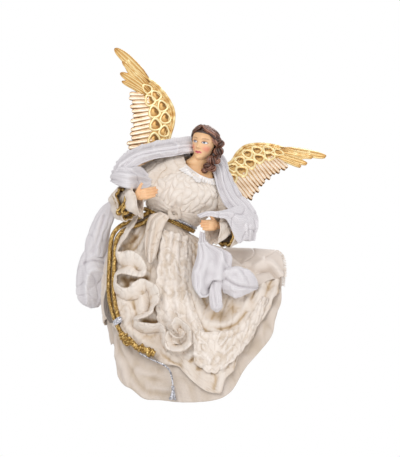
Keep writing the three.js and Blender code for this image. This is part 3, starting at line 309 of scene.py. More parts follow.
# Folds drawn in the front view, each with a height, a half width and a line
SKIRT_FOLDS = [
    (-4.6, 3.2, [(-53.4, -61.4), (-56.8, -68.7), (-59.6, -72.6)]),
    (-5.0, 2.8, [(-61.9, -96.9), (-59.6, -99.7), (-59, -102.5)]),
    (-4.0, 2.2, [(-55.7, -97.4), (-51.7, -98)]),
    (-5.0, 2.6, [(-46.6, -96.9), (-43.3, -96.3)]),
    (-5.0, 3.0, [(-37.6, -108.1), (-36.5, -114.3), (-37.6, -120)]),
    (-5.0, 2.6, [(-44.6, -132.4), (-39.5, -133.5), (-33.8, -133.5)]),
    (-2.4, 1.6, [(-42.1, -45), (-43.8, -55.2), (-47.8, -65.9), (-54, -72.6)]),
    (-2.4, 2.0, [(-33.1, -59.1), (-34.2, -68.1), (-32.5, -79.4)]),
    (3.0, 2.6, [(-48.3, -106.4), (-46.6, -115.5), (-45.7, -120.4), (-46.3, -126.1)]),
    (-2.2, 1.6, [(-54.0, -113.2), (-52.8, -120.0), (-53.1, -121.6)]),
    (-1.6, 1.6, [(-45, -41.6), (-45.9, -51.9), (-52.7, -62), (-62.9, -68.8)]),
    (2.2, 3.0, [(-39.9, -41.6), (-39.9, -53.5), (-47.6, -72.2), (-54.4, -82.5)]),
    (-1.6, 1.5, [(-34.9, -45.9), (-41.6, -56.9), (-43.4, -72.2), (-39.9, -82.5)]),
    (2.2, 2.6, [(-28.9, -48.4), (-35.7, -63.8), (-38.2, -82.5)]),
    (-1.8, 1.5, [(-11.9, -62), (-9.3, -96), (-3.4, -119.8), (4.2, -137.7), (10.2, -141.9)]),
    (2.8, 2.4, [(-7.6, -63.8), (-6, -94.3), (0, -118.1), (6, -133.4), (14, -140)]),
    (-1.6, 1.5, [(-1.7, -62), (-0.8, -82.5), (1.7, -101.1), (7.6, -119)]),
    (2.0, 2.4, [(4.2, -82.5), (7.6, -102), (12.8, -119)]),
    (-1.3, 4.5, [(12.8, -128.3), (21.2, -126.6), (28.9, -122.4)]),
    (2.8, 1.8, [(9.3, -133.4), (17.8, -135.2), (28.9, -132.6), (37.4, -124.1), (42.5, -114.8)]),
    (-1.6, 1.2, [(10.2, -137.7), (21.2, -138.5), (33.1, -134.3), (41.6, -125)]),
    (2.0, 2.2, [(14.4, -143.7), (24.6, -142.8), (36.5, -136.8), (45, -126.6)]),
    (-1.2, 1.2, [(6.8, -147.9), (19.6, -147), (34, -142.8), (45, -136)]),
    (-1.6, 1.3, [(60.4, -91), (51.9, -101.1), (46.8, -113)]),
    (2.2, 1.8, [(62.9, -89.2), (55.2, -102.8), (51, -116.5)]),
    (-1.6, 1.3, [(65.5, -91), (60.4, -104.5), (55.2, -119)]),
    (2.0, 1.8, [(68, -90.1), (66.3, -104.5), (60.4, -119.8)]),
    (-1.4, 1.2, [(70.5, -93.5), (70.5, -106.2), (65.5, -117.3)]),
    (2.0, 2.6, [(-56.9, -140.2), (-39.9, -153.8), (-22.9, -158.9)]),
    (-1.6, 1.5, [(-31.4, -157.2), (-21.2, -166.6), (-11, -170.8)]),
    (-3.6, 2.0, [(-6.8, -166.6), (-0.8, -164), (4.2, -167.4), (1.7, -172.5)]),
    (3.2, 2.0, [(-9.3, -170.8), (-6, -160.7), (5.1, -159.8), (11.9, -166.6)]),
    (-1.7, 1.6, [(12.8, -174.2), (16.1, -181), (14.4, -189.5)]),
    (3.0, 2.0, [(21.2, -170.8), (21.2, -179.3), (18.7, -189.5)]),
    (1.6, 2.0, [(-62, -114.8), (-56.9, -125), (-58.6, -136.8)]),
    (-1.2, 1.3, [(-58.6, -113), (-51.9, -123.2), (-51.9, -138.5)]),
]
UNDERSKIRT_FOLDS = [
    (-1.8, 1.6, [
        (-66.8, -145.5), (-65.1, -157.4), (-60, -166), (-56.6, -175.1), (-53.1, -181.9), (-47.5, -188.8),
        (-39.5, -193.9), (-30.4, -196.2), (-23.5, -195.6),
    ]),
    (2.2, 3.4, [
        (-71.9, -145.5), (-69.7, -159.2), (-64.5, -169.4), (-61.1, -179.1), (-54.3, -188.2),
        (-45.2, -196.7), (-34.9, -200.1),
    ]),
    (1.6, 1.3, [(-37.2, -189.9), (-29.8, -191.3), (-23.5, -191.3)]),
    (-1.5, 1.6, [(-46.3, -178.5), (-39.5, -181.9), (-31.5, -183.1)]),
    (1.6, 3.0, [(-50.9, -172.8), (-44, -177.4), (-34.9, -177.9)]),
]
TRAIN_FOLDS = [
    (2.6, 2.6, [(40.8, -82.5), (50.1, -85.8), (62, -85), (72.2, -94.3)]),
    (-1.8, 2.0, [(39.1, -87.5), (49.3, -91.8), (62, -90.1), (71.4, -102.8)]),
    (2.0, 3.0, [(36.5, -74), (46.8, -77.3), (55.2, -82.5)]),
    (-2.8, 4.0, [(34, -74.8), (39.1, -79.9), (45, -85.8)]),
]

# Front view of the lace along the hem
LACE_HEM_TOP = [(-3.4, -141.6), (13.6, -141.6), (33.1, -138.5), (46.8, -126.1), (54.4, -113)]
LACE_HEM_EDGE = [
    (-2, -167.4), (13.6, -175.9), (29.2, -166.3), (43.6, -149.4), (52.7, -132.5), (59.5, -114.3),
]

# Curls of hair: middle in the head's own frame, and size
CURLS = [
    (13.4, -1, -4.5, 3.7), (10.2, -4.5, -13, 3.9), (12.6, -2, -12.5, 3.2), (8.4, -6.5, -18.5, 3.4),
    (11.2, -4, -19.5, 3), (6.2, -6.5, -22.5, 2.4), (8, 5, -9, 5), (12.9, 0, 2, 3.4),
    (-7.4, 3, -3, 4), (-7, 2, -11, 3.4), (2, 8, 4, 6.5), (1, 8, -8, 6),
]

# Curves across the sash's hanging end, from its knot down
SASH_TAIL = [
    [(-30.6, -46, -39.9), (-27.2, -48, -41.6), (-22.9, -47, -44.2)],
    [(-39.9, -44, -43.4), (-34.9, -49.5, -46.8), (-28.1, -48, -51.9)],
    [(-43.4, -45, -54.4), (-38.2, -51, -58.6), (-31.4, -49, -63.8)],
    [(-44.2, -49, -68), (-39.9, -55, -72.2), (-34, -53, -74)],
    [(-43.4, -52, -78.2), (-39.9, -57, -83.3), (-35.7, -55, -79)],
]

# Sleeves, and the gold braid bunched in the right one
GOLD_BUNCH = [
    [
        (-60.3, -57, -26.5), (-61.4, -58.5, -31.6), (-64, -59, -35.7), (-67.2, -58.5, -39),
        (-67.2, -58, -41.5), (-64.5, -58, -41.9),
    ],
    [
        (-59.9, -57, -29.7), (-60.3, -59, -34.3), (-62.6, -59.5, -37.6), (-63.6, -59, -40.8),
        (-60.3, -58.5, -41.9),
    ],
    [
        (-59.4, -56.5, -31.6), (-57.8, -58, -35.7), (-57.8, -58, -39), (-59.9, -58.5, -41.3),
        (-61.7, -58.5, -39.9),
    ],
]
# Where a sleeve starts above the shoulder, how far its elbow lies inside the arm's own, the fullness of
# its cap, and the share of the hand that its cuff covers and how far the cuff hangs
SLEEVES = {
    "right": {"yoke": [(-9, -25, 0)], "ease": 4.2, "cap": 4.4, "cover": 0.17, "hang": 11.0},
    "left": {"yoke": [], "ease": 0.0, "cap": 1.6, "cover": 0.3, "hang": 8.0},
}
SLEEVE_END = 0.88  # share of the arm that a sleeve covers

# Heights over the waist, along the torso, and how far the braids stand out of it
BELT_LEVEL = 1.7
SILVER_LEVEL = 4.4
SASH_LEVEL = 7.7
BELT_OUT = 3.8
SILVER_OUT = 3.6

# Columns of points round the gown, plaits of the bodice round the body, and leaves along each
GOWN_COLUMNS = 520
PLAITS = 16
LEAVES = 6.2

# Braids: spread, strand radius and pitch of a plait; radius, strands and pitch of a twist
BELT_PLAIT = (1.15, 0.75, 5.5)
SLEEVE_PLAIT = (1.5, 0.9, 5.4)
BUNCH_TWIST = (1.3, 3, 4.0)
SILVER_TWIST = (1.1, 3, 5.0)

# Radii of fine yarn and rolled hems, and thicknesses of cloth
BINDING_YARN = 0.5
PICOT_YARN = 0.32
HEM_ROLL = 0.5
ORGANZA_THICK = 0.25
CHIFFON_THICK = 0.4
FRILL_THICK = 0.5
LACE_THICK = 0.6

# Smaller sizes
HAND_GRAIN = 0.24  # step of the mesh that runs palm and fingers together
TASSEL_LENGTH = 13.0
TASSEL_HEAD = 3.8
RIBBON_HALF = 2.4  # half width

# Stage: the picture's size and the place of the origin in it, in picture elements, then metres
PICTURE = (400, 457)
ORIGIN = (197, 165)
FIGURE_DEPTH = -0.035
LIT_POINT = (0, -0.03, -0.06)

# Floor, in millimetres
FLOOR_RADIUS = 700.0
FLOOR_LEVEL = -340.0


# Numbers and curves


def rows_of(count):
    """Shares from 0 to 1 down the rows of a grid."""
    return np.linspace(0, 1, count)[:, None]


def columns_of(count):
    """Shares from 0 to 1 over the columns of a grid."""
    return np.linspace(0, 1, count)[None, :]


def turns(count):
    """Angles of equal steps once round."""
    return np.linspace(0, TURN, count, endpoint=False)


def linear(code):
    """A hex colour in sRGB as linear red, green, blue and alpha."""
    channels = [int(code[i : i + 2], 16) / 255 for i in (1, 3, 5)]
    return tuple(c / 12.92 if c <= 0.04045 else ((c + 0.055) / 1.055) ** 2.4 for c in channels) + (1.0,)


def mix(a, b, share):
    """The value at a share of the way from a to b."""
    return a + (b - a) * share


def rise(low, high, value):
    """A smooth step from 0 at low to 1 at high."""
    share = np.clip((value - low) / (high - low), 0, 1)
    return share * share * (3 - 2 * share)


def hill(value, half):
    """A smooth hill of height 1 at 0 that is nearly flat beyond twice its half width."""
    return np.exp(-((value / half) ** 2))


def unit(vectors):
    """The vectors at length 1."""
    return vectors / np.maximum(np.linalg.norm(vectors, axis=-1, keepdims=True), 1e-9)


def spline(points, at):
    """Points on the smooth curve through the given ones, at shares from 0 to 1."""
    points = np.asarray(points, float)
    spans = len(points) - 1
    ends = np.vstack([2 * points[0] - points[1], points, 2 * points[-1] - points[-2]])
    place = np.clip(np.asarray(at, float), 0, 1) * spans
    first = np.minimum(place.astype(int), spans - 1)
    f = (place - first)[..., None]
    a, b, c, d = (ends[first + i] for i in range(4))
    bend = 2 * a - 5 * b + 4 * c - d
    twist = 3 * b - a - 3 * c + d
    return 0.5 * (2 * b + (c - a) * f + bend * f**2 + twist * f**3)


def evenly(points, step, closed=False):
    """The curve through the points, cut into steps of about the same length."""
    points = np.asarray(points, float)
    if closed:
        points = np.vstack([points, points[:1]])
    fine = spline(points, np.linspace(0, 1, 40 * len(points)))
    travelled = np.concatenate([[0], np.linalg.norm(np.diff(fine, axis=0), axis=1).cumsum()])
    count = max(int(travelled[-1] / step), 3)
    at = np.linspace(0, travelled[-1], count + 1)
    return np.stack([np.interp(at, travelled, fine[:, i]) for i in range(3)], -1)


def travel(path):
    """The distance travelled along a path at each of its points."""
    return np.concatenate([[0], np.linalg.norm(np.diff(path, axis=0), axis=1).cumsum()])


def lumps(points, pitch, seed):
    """A smooth random field of about -1 to 1, with lumps of the given pitch."""
    random = np.random.default_rng(seed)
    total = 0
    waves = 12
    for _ in range(waves):
        direction = unit(random.normal(size=3)) * TURN / pitch * random.uniform(0.6, 1.4)
        total = total + np.sin(points @ direction + random.uniform(0, TURN))
    return total * (2 / waves) ** 0.5


def turned(points, axis, angle):
    """Points turned about the x, y or z axis."""
    i, k = {"x": (1, 2), "y": (2, 0), "z": (0, 1)}[axis]
    result = np.array(points, float)
    result[..., i] = points[..., i] * math.cos(angle) - points[..., k] * math.sin(angle)
    result[..., k] = points[..., i] * math.sin(angle) + points[..., k] * math.cos(angle)
    return result


# Meshes


def frames(path):
    """Directions to the side and up along a path, without twist."""
    ahead = unit(np.gradient(path, axis=0))
    start = (0, 0, 1) if abs(ahead[0][2]) < 0.9 else (1, 0, 0)
    side = [unit(np.cross(ahead[0], start))]
    for direction in ahead[1:]:
        side.append(unit(side[-1] - direction * np.dot(side[-1], direction)))
    side = np.array(side)
    return side, np.cross(ahead, side)


def rings_along(path, radius, sides):
    """Rings of points round a path; the radius may differ at each step and side."""
    path = np.asarray(path, float)
    side, up = frames(path)
    angle = np.arange(sides) / sides * TURN
    radius = np.broadcast_to(radius, (len(path), sides))[..., None]
    spokes = side[:, None] * np.cos(angle)[None, :, None] + up[:, None] * np.sin(angle)[None, :, None]
    return path[:, None] + radius * spokes


def skin(rings):
    """Points and faces of a closed solid through rings of points."""
    count, sides = rings.shape[:2]
    i, k = np.meshgrid(np.arange(count - 1), np.arange(sides), indexing="ij")
    after = (k + 1) % sides
    corners = [i * sides + k, (i + 1) * sides + k, (i + 1) * sides + after, i * sides + after]
    faces = np.stack(corners, -1).reshape(-1, 4).tolist()
    faces.append(list(range(sides)))
    faces.append(list(range((count - 1) * sides, count * sides))[::-1])
    return rings.reshape(-1, 3), faces


def tube(path, radius, sides=6):
    """Points and faces of a round strand along a path."""
    return skin(rings_along(path, radius, sides))


def pile(parts):
    """Several sets of points and faces as one."""
    points = np.concatenate([part[0] for part in parts])
    faces = []
    first = 0
    for part_points, part_faces in parts:
        faces.extend([[corner + first for corner in face] for face in part_faces])
        first += len(part_points)
    return points, faces


def pile_relief(parts):
    """Several sets of points, faces and relief as one."""
    points, faces = pile([part[:2] for part in parts])
    return points, faces, np.concatenate([np.broadcast_to(part[2], len(part[0])) for part in parts])


def add_mesh(name, points, faces, material, fold=None, paint=None):
    """A smooth mesh object in metres, with its fold depth and painted colours."""
    mesh = bpy.data.meshes.new(name)
    mesh.from_pydata((points * MM).tolist(), [], faces)
    mesh.polygons.foreach_set("use_smooth", np.ones(len(mesh.polygons), bool))
    if fold is not None:
        mesh.attributes.new("fold", "FLOAT", "POINT").data.foreach_set("value", fold.ravel())
    if paint is not None:
        mesh.color_attributes.new("paint", "FLOAT_COLOR", "POINT").data.foreach_set("color", paint.ravel())
    mesh.materials.append(material)
    piece = bpy.data.objects.new(name, mesh)
    bpy.context.scene.collection.objects.link(piece)
    return piece


def relaxed(grid, around):
    """A grid of points with each one drawn towards its neighbours."""
    rows = np.pad(grid, ((1, 1), (0, 0), (0, 0)), mode="edge")
    grid = (rows[:-2] + 2 * rows[1:-1] + rows[2:]) / 4
    sides = np.pad(grid, ((0, 0), (1, 1), (0, 0)), mode="wrap" if around else "edge")
    return (sides[:, :-2] + 2 * sides[:, 1:-1] + sides[:, 2:]) / 4


def normals_of(grid, around=False):
    """The direction that the cloth faces at each point of a grid."""
    across = np.roll(grid, -1, 1) - np.roll(grid, 1, 1) if around else np.gradient(grid, axis=1)
    return unit(np.cross(across, np.gradient(grid, axis=0)))


def facing(grid, inside, around):
    """Directions away from the inside, at each point of a grid."""
    normal = normals_of(grid, around)
    out = ((grid - np.asarray(inside, float)) * normal).sum(-1).mean()
    return normal if out > 0 else -normal


def crease_depth(grid, inside, around, reach):
    """How far each point stands above (or below) the smoothed cloth, in millimetres."""
    soft = grid
    for _ in range(reach):
        soft = relaxed(soft, around)
    return ((grid - soft) * facing(soft, inside, around)).sum(-1)


def cloth(name, grid, material, thickness, inside, around=False, reach=40, fold=None):
    """A sheet of even thickness through a grid of points, with threads along it, and its cut size."""
    rows, columns = grid.shape[:2]
    spans = columns if around else columns - 1
    i, k = np.meshgrid(np.arange(rows - 1), np.arange(spans), indexing="ij")
    corners = [(i, k), (i + 1, k), (i + 1, k + 1), (i, k + 1)]
    faces = np.stack([a * columns + b % columns for a, b in corners], -1).reshape(-1, 4).tolist()
    closed = np.concatenate([grid, grid[:, :1]], 1) if around else grid
    across = np.pad(np.linalg.norm(np.diff(closed, axis=1), axis=-1).cumsum(1), ((0, 0), (1, 0)))
    along = np.pad(np.linalg.norm(np.diff(closed, axis=0), axis=-1).cumsum(0), ((1, 0), (0, 0)))
    places = np.stack([across, along], -1) * MM
    # the fold depth sets the painted shade of the cloth materials
    if fold is None:
        fold = crease_depth(grid, inside, around, reach)
    piece = add_mesh(name, grid.reshape(-1, 3), faces, material, fold=fold)
    corner_places = np.stack([places[a, b] for a, b in corners], -2)
    piece.data.uv_layers.new(name="threads").data.foreach_set("uv", corner_places.ravel())
    shell = piece.modifiers.new("thickness", "SOLIDIFY")
    shell.thickness = thickness * MM
    shell.offset = 0
    return piece, cut_size(closed)


def cut_size(grid):
    """Width, length and area in metres that a sheet was cut to before it was folded."""
    width = np.linalg.norm(np.diff(grid, axis=1), axis=-1).sum(1).mean()
    length = np.linalg.norm(np.diff(grid, axis=0), axis=-1).sum(0).max()
    sides = np.cross(grid[1:, :-1] - grid[:-1, :-1], grid[:-1, 1:] - grid[:-1, :-1])
    others = np.cross(grid[1:, :-1] - grid[1:, 1:], grid[:-1, 1:] - grid[1:, 1:])
    area = (np.linalg.norm(sides, axis=-1) + np.linalg.norm(others, axis=-1)).sum() / 2
    return width * MM, length * MM, area * MM * MM


def dress(piece, slot, *nodes, body=BODY):
    """Lets a piece stand for its nodes, which it hides, and move with their body."""
    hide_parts(*nodes)
    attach(piece, body)
    return piece


def trim(piece, slot):
    """Lets a detail without a node move with the figure."""
    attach(piece, BODY)


def sew(sheet, slot, nodes):
    """Dresses a sheet of cloth."""
    piece, (width, length, area) = sheet
    dress(piece, slot, *nodes)


def plies(path, radius, count, pitch):
    """Twisted strands round a path, as a laid cord has."""
    side, up = frames(path)
    reach, size = 0.52 * radius, 0.55 * radius  # the strands press into each other a little
    strands = []
    for k in range(count):
        angle = (TURN * (travel(path) / pitch + k / count))[:, None]
        middle = path + reach * (side * np.cos(angle) + up * np.sin(angle))
        strands.append(tube(middle, size))
    return pile(strands)


def plait(path, out, high, spread, strand, pitch):
    """Three strands that cross over each other along a path, as in a braid."""
    strands = []
    for k in range(3):
        phase = (TURN * (travel(path) / pitch + k / 3))[:, None]
        middle = path + spread * np.sin(phase) * high + 0.5 * spread * np.sin(2 * phase) * out
        strands.append(tube(middle, strand))
    return pile(strands)


def drape(curves, rows, columns):
    """A smooth sheet through curves, each given by a few points."""
    at = np.linspace(0, 1, columns)
    lines = np.stack([spline(curve, at) for curve in curves])
    return spline(lines.reshape(len(curves), -1), np.linspace(0, 1, rows)).reshape(rows, columns, 3)


def crinkle(points, pitch, seed):
    """Sharp crossing creases of about the given pitch, from -1 in them to 0.6 between them."""
    return 0.6 - 1.6 * (1 - np.minimum(np.abs(lumps(points, pitch, seed)) * 1.6, 1)) ** 2


def fold_height(place, folds):
    """Height of folds drawn in a flat view: each has a height, a half width and a line."""
    total = np.zeros(place.shape[:-1])
    for height, half, line in folds:
        gap = np.full(total.shape, 1e3)
        for point in spline(line, np.linspace(0, 1, 36)):
            gap = np.minimum(gap, np.linalg.norm(place - point, axis=-1))
        total += height * hill(gap, half)
    return total


def drawn_folds(grid, folds):
    """Height of folds drawn in the front view, on the front alone."""
    return fold_height(grid[..., [0, 2]], folds) * rise(*FRONT, grid[..., 1])


# The body's own surfaces


def torso(at, turn, offset):
    """Points on the torso at a share of its length and a turn round it."""
    at, turn, offset = np.broadcast_arrays(np.asarray(at, float), turn, offset)
    shape = spline(TORSO_SHAPES, at)
    lean, nod = np.radians(shape[..., 2]), np.radians(shape[..., 3])
    none = np.zeros_like(lean)
    across = np.stack([np.cos(lean), none, -np.sin(lean)], -1)
    front = np.stack([none, -np.cos(nod), -np.sin(nod)], -1)
    width = ((shape[..., 0] + offset) * np.cos(turn))[..., None]
    depth = ((shape[..., 1] + offset) * np.sin(turn))[..., None]
    return spline(TORSO_CENTRES, at) + across * width + front * depth


def skirt_base(at, turn):
    """The smooth bell of the skirt at a share of its length and a turn round it."""
    at, turn = np.broadcast_arrays(np.asarray(at, float), turn)
    across = (1 - np.cos(turn)) / 2
    right, left = (torso(0.0, end, 1.5) - 1.2 * TORSO_UP for end in (math.pi, 0.0))
    waist = right + (left - right) * across[..., None]
    point = np.empty(at.shape + (3,))
    swing, hem = spline(SKIRT_SWING, across), spline(SKIRT_HEM, across)
    for axis, flat in ((0, 0), (2, 1)):
        held = (1 - at) ** 2 * waist[..., axis]
        point[..., axis] = held + 2 * at * (1 - at) * swing[..., flat] + at**2 * hem[..., flat]
    depth = mix(*SKIRT_DEPTH, np.maximum(at, 0) ** 0.85)
    point[..., 1] = mix(*SKIRT_MIDDLE, at) - depth * np.sin(turn)
    return point


def skirt_out(at, turn):
    """The direction out of the skirt."""
    nudge = 0.01
    down = skirt_base(at + nudge, turn) - skirt_base(at, turn)
    around = skirt_base(at, turn + nudge) - skirt_base(at, turn - nudge)
    return unit(np.cross(down, around))


def skirt(at, turn, offset):
    """The folded skirt, moved out by an offset."""
    at, turn, offset = np.broadcast_arrays(np.asarray(at, float), turn, offset)
    fold = FLUTE_HEIGHT * np.maximum(at, 0) ** 1.5 * np.sin(SKIRT_FLUTES * turn + 2.2 * at)
    return skirt_base(at, turn) + skirt_out(at, turn) * (fold + offset)[..., None]


def skirt_at(x, z):
    """Share of the length and turn on the front of the skirt at places in the front view."""
    at = np.full(np.shape(x), 0.5)
    turn = np.full(np.shape(x), math.pi / 2)
    nudge = 0.005
    for _ in range(25):
        here = skirt_base(at, turn)
        by_length = (skirt_base(at + nudge, turn) - here) / nudge
        by_turn = (skirt_base(at, turn + nudge) - here) / nudge
        scale = by_length[..., 0] * by_turn[..., 2] - by_length[..., 2] * by_turn[..., 0]
        dx, dz = x - here[..., 0], z - here[..., 2]
        at = at + np.clip((dx * by_turn[..., 2] - dz * by_turn[..., 0]) / scale, -0.1, 0.1)
        turn = turn + np.clip((by_length[..., 0] * dz - by_length[..., 2] * dx) / scale, -0.2, 0.2)
        at = np.clip(at, 0.01, 1.05)
        turn = np.clip(turn, 0.15, math.pi - 0.15)
    return at, turn


def on_skirt(places, offset):
    """Points over the skirt at places in the front view."""
    at, turn = skirt_at(places[..., 0], places[..., 1])
    return skirt(at, turn, offset)


def in_head(points):
    """Points of the head's own frame in their place."""
    broad = points * (HEAD_WIDE, 1, 1)
    return turned(turned(broad, "y", HEAD_ROLL), "z", HEAD_YAW) + HEAD_CENTRE


def on_wing(points, side):
    """Points of a wing blade's own frame in their place."""
    stance = WING_STANCE[side]
    result = turned(points, "x", math.pi / 2 - math.radians(stance["pitch"]))
    result = turned(turned(result, "y", -math.radians(stance["raise"])), "z", WING_SWEEP)
    result = result + np.array(stance["root"])
    if side == "right":
        result = result * (-1, 1, 1)
    return turned(result, "z", BODY_YAW)


def round_block(points):
    """Points of the clothes drawn in where the wooden block stands out of them."""
    place = turned(points, "z", -BODY_YAW)
    beside = np.abs(place[..., 0]) - BLOCK_HALF_WIDTH
    above = np.abs(place[..., 2] - BLOCK_MIDDLE) - BLOCK_HALF_HEIGHT
    limit = BLOCK_BACK - BLOCK_CLEAR + BLOCK_EASE * np.maximum(np.maximum(beside, above), 0)
    place[..., 1] = np.minimum(place[..., 1], limit)
    return turned(place, "z", BODY_YAW)


# Materials


def feed(node, inputs):
    """Puts links or values on a node's inputs."""
    for socket, value in inputs.items():
        if isinstance(value, bpy.types.NodeSocket):
            node.id_data.links.new(value, node.inputs[socket])
        else:
            node.inputs[socket].default_value = value


def put(tree, kind, inputs=None, stops=(), **settings):
    """Adds a node with its settings, links or values of its inputs, and colour stops."""
    node = tree.nodes.new(f"ShaderNode{kind}")
    for name, value in settings.items():
        setattr(node, name, value)
    feed(node, inputs or {})
    for i, (place, colour) in enumerate(stops):
        elements = node.color_ramp.elements
        stop = elements[i] if i < 2 else elements.new(place)
        stop.position = place
        stop.color = linear(colour)
    return node


def threads(tree, pitch, wander):
    """Warp and weft over the cloth's own coordinates, as a height from 0 to 1."""
    where = put(tree, "UVMap", uv_map="threads").outputs["UV"]
    bands = {"Vector": where, "Scale": WAVE_BAND / (pitch * MM), "Distortion": wander, "Detail": 2.0}
    sets = [put(tree, "TexWave", bands, bands_direction=way).outputs["Fac"] for way in "XY"]
    return put(tree, "Math", {0: sets[0], 1: sets[1]}, operation="MAXIMUM").outputs[0]


def fold_share(tree, reach):
    """The fold depth as a share: 0 in a crease that deep, 1 on a ridge that high."""
    depth = put(tree, "Attribute", attribute_name="fold").outputs["Fac"]
    limits = {"Value": depth, "From Min": -reach, "From Max": reach}
    return put(tree, "MapRange", limits).outputs["Result"]


def mottle(tree, size, detail):
    """Uneven spots of a size in metres, through the whole solid."""
    place = put(tree, "TexCoord").outputs["Object"]
    return put(tree, "TexNoise", {"Vector": place, "Scale": 1 / size, "Detail": detail}).outputs["Fac"]


def coat(tree, shader, share, stops, height, strength, depth):
    """Colours a surface by a share and gives it a relief of a depth in metres."""
    tint = put(tree, "ValToRGB", {"Fac": share}, stops)
    bump = put(tree, "Bump", {"Height": height, "Strength": strength, "Distance": depth})
    feed(shader, {"Base Color": tint.outputs["Color"], "Normal": bump.outputs["Normal"]})


def crumpled(tree, weave, size, detail, bend, coarse, fine, deep):
    """The relief of limp cloth: ridged creases of a size in metres, with the weave over them."""
    place = put(tree, "TexCoord").outputs["Object"]
    ridges = {"Vector": place, "Scale": 1 / size, "Detail": detail, "Distortion": bend}
    creases = put(tree, "TexNoise", ridges, noise_type="RIDGED_MULTIFRACTAL").outputs["Fac"]
    under = put(tree, "Bump", {"Height": creases, "Strength": coarse, "Distance": 0.0009})
    over = {"Height": weave, "Strength": fine, "Distance": deep, "Normal": under.outputs["Normal"]}
    return put(tree, "Bump", over).outputs["Normal"]


def crinkled_linen(tree, shader):
    """Stiffened cream linen: matt, slubby plain weave, with painted shade that turns it tan in its creases.
    """
    # painted shade: the colour runs from tan in the deepest creases to cream on the ridges
    stops = [(0.0, "#8d704c"), (1.0, "#f0e7dc"), (0.3, "#c7b092"), (0.48, "#e0d2c2"), (0.62, "#e8ddd0")]
    tint = put(tree, "ValToRGB", {"Fac": fold_share(tree, 3.0)}, stops)
    weave = threads(tree, 1.3, 2.5)  # real threads are 0.7 mm apart, too fine to show
    shade = put(tree, "MapRange", {"Value": weave, "To Min": 0.88})
    both = {0: 1.0, 6: tint.outputs["Color"], 7: shade.outputs["Result"]}
    blend = put(tree, "Mix", both, data_type="RGBA", blend_type="MULTIPLY")
    relief = crumpled(tree, weave, 0.011, 3.0, 0.6, 0.6, 0.35, 0.0003)
    feed(shader, {"Base Color": blend.outputs[2], "Normal": relief})
    feed(shader, {"Roughness": 0.92, "Sheen Weight": 0.15, "IOR": 1.46})


def cotton_gauze(tree, shader):
    """White open gauze: thin matt threads with gaps between, with painted grey shade in its folds."""
    # painted shade: the colour runs from grey in the deepest folds to white on the ridges
    stops = [(0.0, "#8f898b"), (1.0, "#f6f4f4"), (0.3, "#c3bdbf"), (0.5, "#e0dcdd")]
    tint = put(tree, "ValToRGB", {"Fac": fold_share(tree, 2.6)}, stops)
    weave = threads(tree, 1.5, 3.0)  # real threads are 1.1 mm apart, drawn a little coarser
    shade = put(tree, "MapRange", {"Value": weave, "To Min": 0.84})
    both = {0: 1.0, 6: tint.outputs["Color"], 7: shade.outputs["Result"]}
    blend = put(tree, "Mix", both, data_type="RGBA", blend_type="MULTIPLY")
    gaps = put(tree, "MapRange", {"Value": weave, "To Min": 0.9})
    relief = crumpled(tree, weave, 0.009, 2.0, 0.8, 0.5, 0.5, 0.0004)
    feed(shader, {"Base Color": blend.outputs[2], "Alpha": gaps.outputs["Result"], "Normal": relief})
    feed(shader, {"Roughness": 0.95, "Sheen Weight": 0.2, "IOR": 1.46})


def cotton_lace(tree, shader, deep, low, body, high):
    """Cotton lace: a fine net with raised flowers and curling tapes, darker through the net and in its low
    parts, partly its own tone and partly painted shade, with painted shade in the cloth's folds.
    """
    where = put(tree, "UVMap", uv_map="threads").outputs["UV"]
    bent = put(tree, "TexNoise", {"Vector": where, "Scale": 1 / 0.012})
    swirl = put(tree, "VectorMath", {0: where, 1: (0.004, 0.004, 0)}, operation="ADD")
    moved = {0: bent.outputs["Color"], 1: (0.006, 0.006, 0), 2: swirl.outputs["Vector"]}
    route = put(tree, "VectorMath", moved, operation="MULTIPLY_ADD").outputs["Vector"]
    motif = {"Vector": route, "Scale": 1 / 0.009}
    flowers = put(tree, "TexVoronoi", motif, feature="SMOOTH_F1").outputs["Distance"]
    petals = put(tree, "MapRange", {"Value": flowers, "From Min": 0.62, "From Max": 0.25})
    mesh = {"Vector": route, "Scale": 1 / 0.0022}
    cells = put(tree, "TexVoronoi", mesh, feature="DISTANCE_TO_EDGE").outputs["Distance"]
    net = put(tree, "MapRange", {"Value": cells, "From Min": 0.42, "From Max": 0.05})
    whorl = put(tree, "TexVoronoi", {"Vector": route, "Scale": 1 / 0.015}).outputs["Distance"]
    wound = put(tree, "Math", {0: whorl, 1: 21.0}, operation="MULTIPLY").outputs[0]
    curls = put(tree, "Math", {0: wound}, operation="SINE").outputs[0]
    tape = put(tree, "MapRange", {"Value": curls, "From Min": -0.6}).outputs["Result"]
    both = {0: petals.outputs["Result"], 1: tape}
    raised = put(tree, "Math", both, operation="MAXIMUM").outputs[0]
    whole = {0: net.outputs["Result"], 1: 0.3, 2: raised}
    height = put(tree, "Math", whole, operation="MULTIPLY_ADD").outputs[0]
    eased = put(tree, "Math", {0: height, 1: 0.34, 2: 0.08}, operation="MULTIPLY_ADD").outputs[0]
    # painted shade: the fold depth darkens the lace in the folds of the cloth
    folded = {0: fold_share(tree, 2.6), 1: 0.6, 2: eased}
    tone = put(tree, "Math", folded, operation="MULTIPLY_ADD").outputs[0]
    stops = [(0.0, deep), (1.0, high), (0.35, low), (0.6, body)]
    coat(tree, shader, tone, stops, height, 0.6, 0.0009)
    feed(shader, {"Roughness": 0.9, "Sheen Weight": 0.15, "IOR": 1.46})


